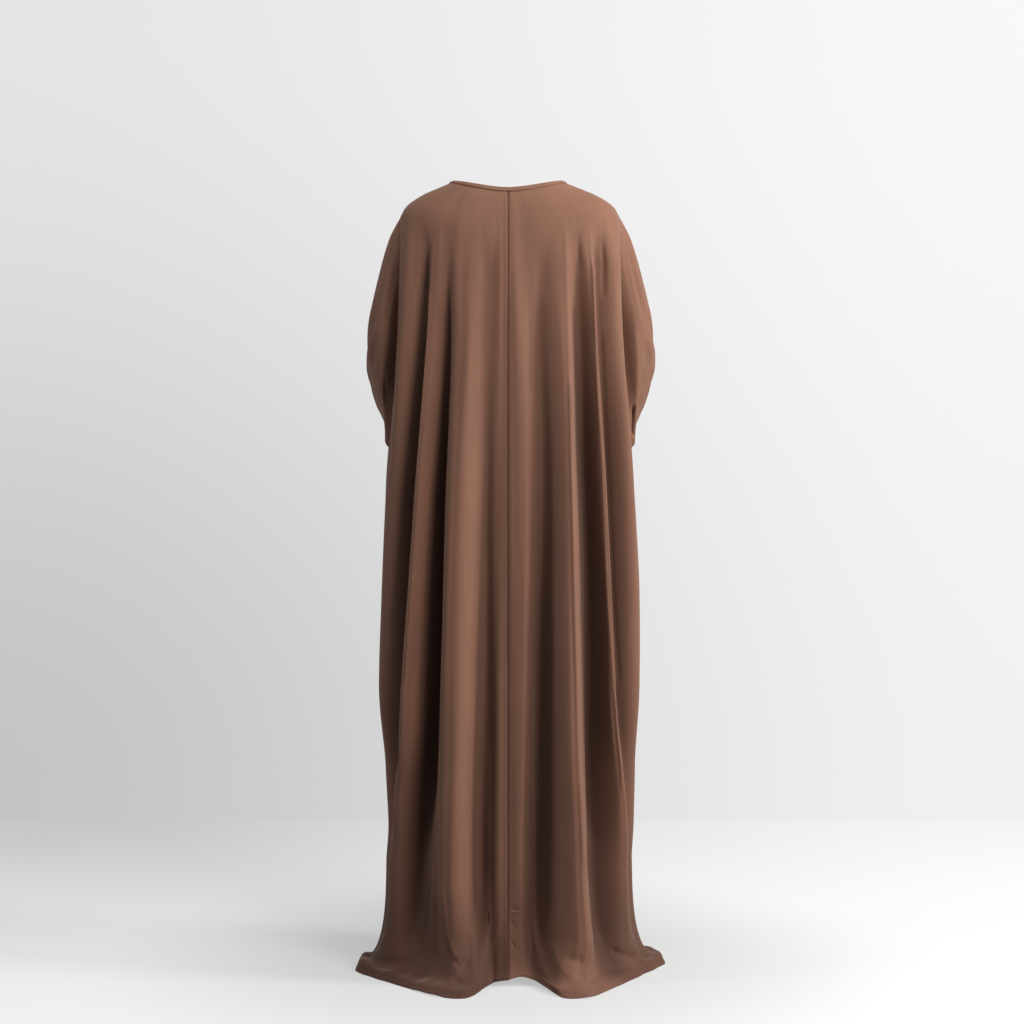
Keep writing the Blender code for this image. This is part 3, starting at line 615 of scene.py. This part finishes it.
def front_path(rows):
    """The bearings and depths of the front, from the right side edge round to the left one."""
    levels = level_at(rows)
    parts = []
    for side, folds in ((RIGHT, FRONT_RIGHT_FOLDS), (LEFT, FRONT_LEFT_FOLDS)):
        bearings, depths, roundness = fold_lines(folds, levels, side)
        edge, depth = side_edge(side, rows, False)
        parts.append((np.column_stack((edge, bearings)), np.column_stack((depth, depths)), [0.0] + roundness))
    centre = fold_lines((CENTRE_FRONT,), levels, RIGHT)
    right, left = parts
    bearings = np.column_stack((right[0], centre[0], left[0][:, ::-1] - 360))
    depths = np.column_stack((right[1], centre[1], left[1][:, ::-1]))
    return rounded_path(bearings, depths, right[2] + centre[2] + left[2][::-1], FRONT_STEPS)


def grid_normals(points, outward):
    """The normals of a grid of points, on the side that outward gives."""
    along = np.gradient(points, axis=0)
    across = np.gradient(points, axis=1)
    normals = np.cross(along, across)
    normals /= np.maximum(np.linalg.norm(normals, axis=2, keepdims=True), SMALLEST_LENGTH)
    return normals * outward


def unit(vectors):
    """Directions of length 1."""
    return vectors / np.linalg.norm(vectors, axis=1, keepdims=True)


def distance_from_start(points, axis):
    """The length along a grid's lines from their first point."""
    steps = np.linalg.norm(np.diff(points, axis=axis), axis=2)
    lengths = np.cumsum(steps, axis=axis)
    return np.insert(lengths, 0, 0.0, axis=axis)


def ripple(points, seed):
    """Faint uneven waves that run down the cloth, fainter over the shoulders."""
    random = np.random.default_rng(seed)
    girth = np.arctan2(points[..., 0], points[..., 1]) * RIPPLE_GIRTH
    height = points[..., 2]
    total = np.zeros(points.shape[:2])
    for _ in range(RIPPLE_WAVES):
        across = random.uniform(*RIPPLE_FINENESS)
        down = random.normal(0, RIPPLE_SLANT)
        phase = random.uniform(0, 2 * math.pi)
        total += np.sin(across * girth + down * height + phase) * math.sqrt(RIPPLE_FULL_FINENESS / across)
    below_shoulders = smooth_step(-height, *RIPPLE_CALM)
    return total * RIPPLE_HEIGHT * (RIPPLE_LEAST + (1 - RIPPLE_LEAST) * below_shoulders)


def seen_from_behind(points):
    """Where each point shows, on the upright plane through the shoulders."""
    share = CAMERA_DISTANCE / (CAMERA_DISTANCE - points[..., 1])
    across = CAMERA_X + (points[..., 0] - CAMERA_X) * share
    height = CAMERA_HEIGHT + (points[..., 2] + MOUNT_HEIGHT - CAMERA_HEIGHT) * share
    return across, height


def along_line(across, height, line, width):
    """1 on a line of the seen plane, falling softly to 0 beside it and towards its ends."""
    line = [(x / 1000, z / 1000) for x, z in line]
    best = np.full(across.shape, np.inf)
    place = np.zeros(across.shape)
    total = 0.0
    for (x0, z0), (x1, z1) in zip(line, line[1:]):
        length = math.hypot(x1 - x0, z1 - z0)
        share = np.clip(((across - x0) * (x1 - x0) + (height - z0) * (z1 - z0)) / length**2, 0, 1)
        away = (across - x0 - share * (x1 - x0)) ** 2 + (height - z0 - share * (z1 - z0)) ** 2
        place = np.where(away < best, total + share * length, place)
        best = np.minimum(best, away)
        total += length
    fade = min(CREASE_FADE, CREASE_FADE_SHARE * total)
    return np.exp(-best / width**2) * smooth_step(np.minimum(place, total - place), 0.0, fade)


def creases(points, table):
    """The small creases of a panel, each as a soft ridge or trough."""
    across, height = seen_from_behind(points)
    total = np.zeros(points.shape[:2])
    for _, width_mm, depth_mm, line in table:
        total += along_line(across, height, line, width_mm / 1000) * depth_mm / 1000
    return total


def hem_relief(to_edge):
    """The turned-up hem, by the distance to the cloth's edge."""
    band = 1 - smooth_step(to_edge, HEM_WIDTH - HEM_SOFTNESS, HEM_WIDTH)
    groove = np.exp(-(((to_edge - HEM_WIDTH) / HEM_SOFTNESS) ** 2))
    return HEM_RISE * band - HEM_GROOVE * groove


def clear_of(distance):
    """0 at an edge of the cloth and 1 well away from it, where ripples and creases may show."""
    return smooth_step(distance, *BORDER)


def side_roll(to_side, depth):
    """The roll of the cloth into a seam, by the distance to it."""
    return -depth * np.exp(-((to_side / SIDE_ROLL_WIDTH) ** 2))


def side_roll_depth(rows):
    """How deep the cloth rolls into the seam at the side: less round the armhole than below it."""
    below = smooth_step(rows, UNDERARM_ROW - 1, UNDERARM_ROW + 1)[:, None]
    return ARMHOLE_ROLL + (SIDE_ROLL - ARMHOLE_ROLL) * below


def above_floor(points):
    """Points that were pressed below the floor are lifted back on it."""
    points[..., 2] = np.maximum(points[..., 2], CLOTH_THICKNESS - MOUNT_HEIGHT)
    return points


def seam_allowance(edge, rows):
    """The narrow strip that turns in behind a side seam: down under the shoulder, inward below it."""
    below = smooth_step(rows, *ALLOWANCE_TURN_ROWS)[:, None]
    inward = unit(-edge * (1.0, 1.0, 0.0))
    turned = unit(inward * below + np.array((0.0, 0.0, -1.0)) * (1 - below))
    return np.stack([edge + turned * depth for depth in SEAM_ALLOWANCE], axis=1)


def fold_shade(depths, strength):
    """The painted shade of the folds at each point, from 0 on a crest to its strength at the bottom of a
    valley.
    """
    return strength * (1 - smooth_step(depths, VALLEY_DEPTH, CREST_DEPTH))


def hem_shade(bearings, depths, levels, heights, side):
    """The painted shade of the folds, which goes on down to the floor and is deeper on the trailing cloth and
    low on the flanks, less a painted light over the shoulders.
    """
    near_floor = 1 - smooth_step(levels, 0.0, HEM_FADE_LEVEL)[:, None]
    shade = fold_shade(depths * (1 + HEM_DEPTH_GAIN * near_floor), FOLD_SHADE_STRENGTH[side])
    # Painted shade, deeper near the floor on the trailing cloth.
    painted_hem_shade = HEM_SHADE[side] * (1 - smooth_step(heights, 0.0, HEM_SHADE_HEIGHT))
    # Painted shade on the lower flanks, which turn away from the light.
    painted_flank_shade = FLANK_SHADE[side] * smooth_step(np.abs(bearings), *FLANK_TURN)
    painted_flank_shade = painted_flank_shade * (1 - smooth_step(heights, *FLANK_HEIGHT))
    # Painted light: the painted shade is lessened over the shoulders.
    painted_shoulder_light = SHOULDER_PAINTED_LIGHT * smooth_step(heights, *SHOULDER_PAINTED_LIGHT_HEIGHT)
    return np.maximum(1 - (1 - shade) * (1 - painted_hem_shade) * (1 - painted_flank_shade) - painted_shoulder_light, 0.0)


def grid_faces(rows, columns, is_closed):
    """Four-sided faces over a grid of points, which may close round on itself."""
    numbers = np.arange(rows * columns).reshape(rows, columns)
    if is_closed:
        numbers = np.column_stack((numbers, numbers[:, 0]))
    corners = (numbers[:-1, :-1], numbers[1:, :-1], numbers[1:, 1:], numbers[:-1, 1:])
    return np.stack([corner.ravel() for corner in corners], axis=1)


def mesh_object(name, vertices, faces, material):
    """A smooth mesh in the scene."""
    mesh = bpy.data.meshes.new(name)
    mesh.from_pydata(vertices, [], faces)
    mesh.shade_smooth()
    mesh.materials.append(material)
    piece = bpy.data.objects.new(name, mesh)
    bpy.context.scene.collection.objects.link(piece)
    return piece


def surface_object(name, points, is_closed, is_flipped, material, thickness=CLOTH_THICKNESS, shade=None):
    """A piece of cloth through a grid of points."""
    faces = grid_faces(*points.shape[:2], is_closed)
    if is_flipped:
        faces = faces[:, ::-1]
    piece = mesh_object(name, points.reshape(-1, 3).tolist(), faces.tolist(), material)
    # Each point's painted shade, which the cloth's material mixes into its colour.
    if shade is not None:
        attribute = piece.data.attributes.new("painted_shade", "FLOAT", "POINT")
        attribute.data.foreach_set("value", shade.ravel().astype(np.float32))
    wall = piece.modifiers.new("cloth", "SOLIDIFY")
    wall.thickness = thickness
    wall.offset = -1.0
    return piece


def back_grid(side, folds):
    """The points and normals of one back panel, and the painted shade at each point."""
    rows = body_rows()
    bearings, depths = back_path(side, folds, rows)
    points = cloth_points(bearings, depths, rows)
    normals = grid_normals(points, -side)
    to_seam = distance_from_start(points, 1)
    to_side = to_seam[:, -1:] - to_seam
    down = distance_from_start(points, 0)
    to_hem = down[-1:] - down
    below_neck = clear_of(down)
    border = clear_of(np.minimum(to_seam, to_side)) * below_neck
    relief = (ripple(points, RIPPLE_SEED + side) + creases(points, BACK_CREASES[side])) * border
    relief += side_roll(to_side, side_roll_depth(rows)) + hem_relief(to_hem)
    from_middle = points[..., 0]
    if side == LEFT:
        relief += LAP_RISE * np.exp(-(((from_middle - LAP_CREST) / LAP_WIDTH) ** 2)) * below_neck
    else:
        relief -= LAP_DIP * (1 - smooth_step(-from_middle, -LAP_EDGE[LEFT], LAP_DIP_END))
    # Painted shade of the folds, the flanks and the hem, less painted light over the shoulders.
    shade = hem_shade(bearings, depths, level_at(rows), points[..., 2] + MOUNT_HEIGHT, side)
    points = above_floor(points + normals * relief[..., None])
    points = np.concatenate((points, seam_allowance(points[:, -1], rows)), axis=1)
    extra = ((0, 0), (0, len(SEAM_ALLOWANCE)))
    return points, np.pad(normals, extra + ((0, 0),), mode="edge"), np.pad(shade, extra, mode="edge")


def back_panel(name, side, grid, material):
    """One back panel of fine cloth."""
    points, _, shade = grid
    return surface_object(name, points, False, side == LEFT, material, shade=shade)


def vent_underlap(name, right_grid, material):
    """The strip behind the closed vent, which follows the right panel from inside."""
    points, normals, shade = right_grid
    height = points[:, 0, 2] + MOUNT_HEIGHT
    rows = np.nonzero((height < VENT_TOP) & (height > VENT_BOTTOM))[0]
    across = points[rows[0], :, 0]
    columns = np.nonzero((across < LAP_EDGE[RIGHT]) & (across > -VENT_WIDTH))[0]
    inside = points - normals * (CLOTH_THICKNESS + VENT_STANDOFF)
    corner = np.ix_(rows, columns)
    return surface_object(name, inside[corner], False, False, material, shade=shade[corner])


def read_line(places, lengths, line):
    """Points of a line, at places along its length."""
    return np.stack([np.interp(places, lengths, line[:, axis]) for axis in range(3)], axis=-1)


def vent_line(right_grid):
    """The level line across the head of the vent, and the cloth's normals on it."""
    points, normals, _ = right_grid
    level = VENT_TOP - VENT_STITCH_DROP - MOUNT_HEIGHT
    line = []
    facing = []
    for place in np.nonzero((points[[0, -1], :, 0] < 0.0).all(axis=0))[0]:
        heights = points[::-1, place, 2]
        here = read_line(level, heights, points[::-1, place])
        if -VENT_WIDTH < here[0] < 0.0:
            line.append(here)
            facing.append(read_line(level, heights, normals[::-1, place]))
    return np.array(line) + np.array(facing) * VENT_STITCH_RISE, np.array(facing)


def front_panel(name, material):
    """The front of fine cloth."""
    rows = body_rows()
    bearings, depths = front_path(rows)
    points = cloth_points(bearings, depths, rows)
    normals = grid_normals(points, 1)
    to_right = distance_from_start(points, 1)
    to_side = np.minimum(to_right, to_right[:, -1:] - to_right)
    down = distance_from_start(points, 0)
    relief = ripple(points, RIPPLE_SEED) * (clear_of(to_side) * clear_of(down))
    relief += side_roll(to_side, side_roll_depth(rows)) + hem_relief(down[-1:] - down)
    # Painted shade of the folds, the flanks and the hem, less painted light over the shoulders.
    shade = hem_shade(bearings, depths, level_at(rows), points[..., 2] + MOUNT_HEIGHT, LEFT)
    points = above_floor(points + normals * relief[..., None])
    right, left = (seam_allowance(points[:, end], rows) for end in (0, -1))
    points = np.concatenate((right[:, ::-1], points, left), axis=1)
    shade = np.pad(shade, ((0, 0), (len(SEAM_ALLOWANCE),) * 2), mode="edge")
    return surface_object(name, points, False, False, material, shade=shade)


def neck_binding(name, material):
    """A narrow strip folded over the neck's edge."""
    turns = np.linspace(-180, 180, BINDING_STEPS, endpoint=False)[None, :]
    edge = cloth_points(turns, 0.0, [0.0])[0]
    down = unit(cloth_points(turns, 0.0, [NECK_SLOPE_ROW])[0] - edge)
    along = np.roll(edge, -1, axis=0) - np.roll(edge, 1, axis=0)
    out = unit(np.cross(along, down))
    out *= np.sign(np.sum(out * (edge - edge.mean(axis=0))))
    section = np.array(BINDING_SECTION) / 1000
    points = edge + section[:, 0, None, None] * down + section[:, 1, None, None] * out
    binding = surface_object(name, points, True, True, material, thickness=BINDING_CLOTH)
    place_down, place_out = BINDING_STITCHES
    return binding, edge + down * place_down + out * place_out, out


def stitch_row(name, line, normals, is_closed, material):
    """A row of small stitches along a line on the cloth, as one mesh."""
    if is_closed:
        line = np.vstack((line, line[:1]))
        normals = np.vstack((normals, normals[:1]))
    lengths = np.insert(np.cumsum(np.linalg.norm(np.diff(line, axis=0), axis=1)), 0, 0.0)
    count = int(lengths[-1] / STITCH_PITCH)
    turns = np.arange(STITCH_SIDES) * 2 * math.pi / STITCH_SIDES
    around = np.cos(turns)[:, None], np.sin(turns)[:, None]
    sizes = np.array(STITCH_SIZES)[:, None, None] * STITCH_RADIUS
    last = (len(STITCH_STATIONS) - 1) * STITCH_SIDES
    pattern = grid_faces(len(STITCH_STATIONS), STITCH_SIDES, True)[:, [0, 3, 2, 1]].tolist()
    pattern += [list(reversed(range(STITCH_SIDES))), list(range(last, last + STITCH_SIDES))]
    vertices = []
    faces = []
    for stitch in range(count):
        places = (stitch + 0.5) * STITCH_PITCH + np.array(STITCH_STATIONS) * STITCH_LENGTH
        middle = read_line(places, lengths, line)
        up = read_line(places, lengths, normals)
        side = unit(np.cross(up, middle[-1] - middle[0]))
        ring = around[0] * side[:, None] + around[1] * up[:, None]
        faces.extend([len(vertices) + corner for corner in face] for face in pattern)
        vertices.extend((middle[:, None] + sizes * ring).reshape(-1, 3).tolist())
    return mesh_object(name, vertices, faces, material)


def armhole_loop(side):
    """Points round the armhole, each with its share of the height and the wall that it starts."""
    rows = np.linspace(ARMHOLE_TOP_ROW, ARMHOLE_BOTTOM_ROW, SLEEVE_ROWS)
    edges = []
    for is_back in (True, False):
        edge, depth = side_edge(side, rows, is_back, is_sleeve=True)
        edges.append(cloth_points(edge[:, None], depth[:, None], rows)[:, 0])
    back, front = edges
    top = (back[0] + front[0]) / 2
    bottom = (back[-1] + front[-1]) / 2
    loop = np.concatenate(([top], back[1:-1], [bottom], front[-2:0:-1]))
    walls = np.concatenate(([0.0], np.ones(len(back) - 2), [0.0], -np.ones(len(front) - 2)))
    shares = (loop[:, 2] - bottom[2]) / (top[2] - bottom[2])
    return loop, shares, walls


def sleeve_section_points(side, section, shares, walls):
    """The ring of one sleeve section."""
    outer_x, outer_y, inner_x, inner_y, under_x, under_y, top, bottom = np.array(section[1:9]) / 1000
    widest, bottom_sharpness = section[9:]
    reach = side if side == LEFT else side * RIGHT_SLEEVE_REACH
    outer = np.array((outer_x * reach, outer_y))
    inner = np.array((inner_x * reach, inner_y))
    under = np.array((under_x * reach, under_y))
    power = math.log(0.5) / math.log(widest)
    wave = np.clip(np.sin(math.pi * np.clip(shares, 0, 1) ** power), 0, None)
    bulge = wave ** np.where(shares > widest, TOP_SHARPNESS, bottom_sharpness)
    lerp = np.minimum(1.0, shares / widest)[:, None]
    middle = under + ((outer + inner) / 2 - under) * lerp
    plan = middle + (outer - inner) / 2 * (bulge * walls)[:, None]
    return np.column_stack((plan, bottom + (top - bottom) * shares - MOUNT_HEIGHT))


def sleeve(name, side, material):
    """One sleeve of fine cloth, from the armhole to the cuff."""
    loop, shares, walls = armhole_loop(side)
    rings = [loop]
    rings.extend(sleeve_section_points(side, section, shares, walls) for section in SLEEVE_SECTIONS)
    rings = np.array(rings)
    stations = np.arange(len(rings))
    places = np.linspace(1, len(SLEEVE_SECTIONS), (len(SLEEVE_SECTIONS) - 1) * SECTION_STEPS + 1)
    places = np.concatenate((np.linspace(0, 1, 2 * SECTION_STEPS, endpoint=False), places))
    points = np.apply_along_axis(lambda strand: smooth_curve(stations, strand, places), 0, rings)
    wrapped = np.concatenate((points[:, -1:], points, points[:, :1]), axis=1)
    normals = grid_normals(wrapped, 1)[:, 1:-1]
    normals *= np.sign(np.sum(normals * (points - points.mean(axis=1, keepdims=True))))
    along = distance_from_start(points, 0)
    to_cuff = along[-1:] - along
    border = clear_of(np.minimum(along, to_cuff))
    share = np.linspace(0, 1, rings.shape[1], endpoint=False)[None, :]
    station = places[:, None]
    folds = np.zeros(points.shape[:2])
    for _, width, depth_mm, line in SLEEVE_FOLDS:
        sections = [place[0] for place in line]
        middle = smooth_curve(sections, [place[1] for place in line], station)
        ends = smooth_step(station, sections[0] - SLEEVE_FOLD_END, sections[0] + SLEEVE_FOLD_FULL)
        fade = smooth_step(station, sections[-1] - SLEEVE_FOLD_FULL, sections[-1] + SLEEVE_FOLD_END)
        ends = ends * (1 - fade)
        folds += depth_mm / 1000 * ends * np.exp(-(((share - middle) / width) ** 2))
    sideways = smooth_step(np.abs(normals[..., 1]), *SIDEWAYS_FACING)
    folds *= SIDEWAYS_FOLDS + (1 - SIDEWAYS_FOLDS) * sideways
    faces_back = smooth_step(normals[..., 1], *BACK_FACING)
    relief = folds + creases(points, SLEEVE_CREASES[side]) * faces_back
    relief = (relief + ripple(points, SLEEVE_RIPPLE_SEED + side)) * border
    relief += side_roll(along, ARMHOLE_ROLL) + hem_relief(to_cuff)
    if side == RIGHT:
        beside_body = smooth_step(along, *HOLLOW_BORDER) * (1 - smooth_step(along, *HOLLOW_END))
        relief += creases(points, (SLEEVE_HOLLOW,)) * beside_body * (normals[..., 1] > 0)
    points = points + normals * relief[..., None]
    hem_place = int(np.argmax(to_cuff[:, 0] < CUFF_STITCH_PLACE))
    hem_line = points[hem_place] + normals[hem_place] * CUFF_STITCH_RISE
    # Painted shade of the sleeve's folds.
    shade = fold_shade(folds * 1000 + SLEEVE_SHADE_OFFSET, 1.0)
    piece = surface_object(name, points, True, side == RIGHT, material, shade=shade)
    return piece, hem_line, normals[hem_place]


def add_node(tree, kind, output, inputs=None, **settings):
    """An output of a new shader node, which has its settings and a value or a link for each input."""
    node = tree.nodes.new("ShaderNode" + kind)
    for name, value in settings.items():
        setattr(node, name, value)
    for socket, value in (inputs or {}).items():
        if isinstance(value, bpy.types.NodeSocket):
            tree.links.new(value, node.inputs[socket])
        else:
            node.inputs[socket].default_value = value
    return node.outputs[output]


def new_material(name):
    """A new material, its tree of nodes and its shader."""
    material = bpy.data.materials.new(name)
    material.use_nodes = True
    return material, material.node_tree, material.node_tree.nodes["Principled BSDF"]


def cloth_material(name):
    """Fine matte crepe: a pebbled grain, faint streaks down the cloth and painted shade in the folds."""
    material, tree, shader = new_material(name)
    for socket, value in CLOTH_SURFACE.items():
        shader.inputs[socket].default_value = value
    place = add_node(tree, "TexCoord", "Object")
    tone = 1.0
    for kind, scale, detail, stretch_down, change in CLOTH_TONES:
        mapped = add_node(tree, "Mapping", "Vector", {"Vector": place, "Scale": (1.0, 1.0, stretch_down)})
        noise = add_node(tree, "TexNoise", "Fac", {"Vector": mapped, "Scale": scale, "Detail": detail})
        inputs = {"Value": noise, **NOISE_RANGE, "To Min": 1 - change, "To Max": 1 + change}
        factor = add_node(tree, "MapRange", "Result", inputs)
        tone = add_node(tree, "Math", "Value", {0: tone, 1: factor}, operation="MULTIPLY")
        if kind == "grain":
            bump = add_node(tree, "Bump", "Normal", {"Height": noise, **GRAIN_BUMP})
            tree.links.new(bump, shader.inputs["Normal"])
    # Painted shade: the colour runs from the crests' colour to the darker valleys' as each point's painted
    # shade grows.
    depth = add_node(tree, "Attribute", "Fac", attribute_name="painted_shade")
    inputs = {"Factor": depth, "A": CREST_COLOUR, "B": VALLEY_SHADE_COLOUR}
    colour = add_node(tree, "Mix", "Result", inputs, data_type="RGBA")
    toned = add_node(tree, "VectorMath", "Vector", {0: colour, "Scale": tone}, operation="SCALE")
    tree.links.new(toned, shader.inputs["Base Color"])
    return material


def thread_material(name):
    """Dark sewing thread with a faint twist."""
    material, tree, shader = new_material(name)
    shader.inputs["Roughness"].default_value = THREAD_ROUGHNESS
    place = add_node(tree, "TexCoord", "Object")
    noise = add_node(tree, "TexNoise", "Fac", {"Vector": place, "Scale": THREAD_GRAIN_SCALE})
    ramp = add_node(tree, "ValToRGB", "Color", {"Fac": noise})
    dark, light = ramp.node.color_ramp.elements
    dark.color = tuple(THREAD_SHADE * value for value in THREAD_COLOUR[:3]) + (1.0,)
    light.color = THREAD_COLOUR
    tree.links.new(ramp, shader.inputs["Base Color"])
    return material


def add_aimed(name, data, location, target):
    """A camera or a light that looks from one point to another."""
    thing = bpy.data.objects.new(name, data)
    thing.location = location
    thing.rotation_euler = (Vector(target) - Vector(location)).to_track_quat("-Z", "Y").to_euler()
    bpy.context.scene.collection.objects.link(thing)
    return thing


def add_camera():
    """The camera behind the garment, a little right of its middle."""
    data = bpy.data.cameras.new("camera")
    data.lens = CAMERA_LENS
    data.sensor_width = CAMERA_SENSOR
    location = (CAMERA_X, CAMERA_DISTANCE, CAMERA_HEIGHT - MOUNT_HEIGHT)
    target = (CAMERA_X, 0.0, CAMERA_AIM_HEIGHT - MOUNT_HEIGHT)
    bpy.context.scene.camera = add_aimed("camera", data, location, target)


def add_light(name, location, target, size, power, colour):
    """A soft studio light."""
    data = bpy.data.lights.new(name, "AREA")
    data.shape = "RECTANGLE"
    data.size, data.size_y = size
    data.energy = power
    data.color = colour
    add_aimed(name, data, location, target)


def pale_gradient(tree, vector, across, along, greys):
    """A soft gradient over four pale greys: left and right at the far end, left and right near."""

    def share(axis, bounds):
        value = add_node(tree, "SeparateXYZ", axis, {"Vector": vector})
        inputs = {"Value": value, "From Min": bounds[0], "From Max": bounds[1]}
        return add_node(tree, "MapRange", "Result", inputs, interpolation_type="SMOOTHSTEP")

    def blend(factor, first, second):
        inputs = {"Factor": factor, "A": first, "B": second}
        return add_node(tree, "Mix", "Result", inputs, data_type="RGBA")

    left_to_right = share("X", across)
    corners = [(grey, grey, grey, 1.0) for grey in greys]
    far = blend(left_to_right, *corners[:2])
    near = blend(left_to_right, *corners[2:])
    return blend(share(*along), far, near)


def add_floor():
    """The pale studio floor, which glows in painted light and has a painted shadow round the garment."""
    material, tree, shader = new_material("studio_floor")
    tree.nodes.remove(shader)
    place = add_node(tree, "TexCoord", "Object")
    greys = pale_gradient(tree, place, FLOOR_ACROSS, ("Y", FLOOR_ALONG), FLOOR_GREYS)
    level = add_node(tree, "VectorMath", "Vector", {0: place, 1: (1.0, 1.0, 0.0)}, operation="MULTIPLY")
    distance = add_node(tree, "VectorMath", "Value", {0: level}, operation="LENGTH")
    inputs = {"Value": distance, **FLOOR_SHADOW}
    shadow = add_node(tree, "MapRange", "Result", inputs, interpolation_type="SMOOTHSTEP")
    toned = add_node(tree, "VectorMath", "Vector", {0: greys, "Scale": shadow}, operation="SCALE")
    # The floor glows in its greys, a painted light, and only its matte share takes real shadows.
    glow = add_node(tree, "Emission", "Emission", {"Color": toned})
    matte = add_node(tree, "BsdfDiffuse", "BSDF")
    surface = add_node(tree, "MixShader", "Shader", {"Fac": FLOOR_SHADOW_SHARE, 1: glow, 2: matte})
    tree.links.new(surface, tree.nodes["Material Output"].inputs["Surface"])
    far = FLOOR_FAR_EDGE
    half = FLOOR_HALF_WIDTH
    outline = ((-half, far), (half, far), (half, half), (-half, half))
    floor = mesh_object("floor", [(x, y, -MOUNT_HEIGHT) for x, y in outline], [(0, 1, 2, 3)], material)
    floor.visible_diffuse = False


def add_world():
    """The pale studio wall, which only the camera and reflections see; its graded greys are painted light."""
    world = bpy.data.worlds.new("studio")
    world.use_nodes = True
    tree = world.node_tree
    place = add_node(tree, "TexCoord", "Generated")
    greys = pale_gradient(tree, place, WALL_ACROSS, ("Z", WALL_ALONG), WALL_GREYS)
    tree.links.new(greys, tree.nodes["Background"].inputs["Color"])
    world.cycles_visibility.diffuse = False
    bpy.context.scene.world = world


cloth = cloth_material("crepe")
thread = thread_material("thread")
left_grid = back_grid(LEFT, BACK_LEFT_FOLDS)
right_grid = back_grid(RIGHT, BACK_RIGHT_FOLDS)
sleeve_left, left_cuff, left_cuff_normals = sleeve("sleeve_left_cloth", LEFT, cloth)
sleeve_right, right_cuff, right_cuff_normals = sleeve("sleeve_right_cloth", RIGHT, cloth)
binding, neck_line, neck_normals = neck_binding("neck_binding_cloth", cloth)

SHEETS = (
    # node, piece, slot, flat_width, flat_length
    ("back_left", back_panel("back_left_cloth", LEFT, left_grid, cloth), "cloth", 0.45, 1.46),
    ("back_right", back_panel("back_right_cloth", RIGHT, right_grid, cloth), "cloth", 0.43, 1.46),
    ("front", front_panel("front_cloth", cloth), "cloth", 0.60, 1.40),
    ("sleeve_left", sleeve_left, "cloth", 0.40, 0.34),
    ("sleeve_right", sleeve_right, "cloth", 0.40, 0.34),
    ("neck_binding", binding, "binding", 0.62, 0.025),
    ("vent_underlap", vent_underlap("vent_underlap_cloth", right_grid, cloth), "binding", 0.030, 0.105),
)
for node, piece, slot, width, length in SHEETS:
    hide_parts(node)
    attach(piece, "root")

STITCHES = (
    stitch_row("neck_stitches", neck_line, neck_normals, True, thread),
    stitch_row("left_cuff_stitches", left_cuff, left_cuff_normals, True, thread),
    stitch_row("right_cuff_stitches", right_cuff, right_cuff_normals, True, thread),
    stitch_row("vent_stitches", *vent_line(right_grid), False, thread),
)
for row in STITCHES:
    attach(row, "root")

add_camera()
add_world()
add_floor()
for light in LIGHTS:
    add_light(*light)
scene = bpy.context.scene
scene.view_settings.view_transform = "Standard"
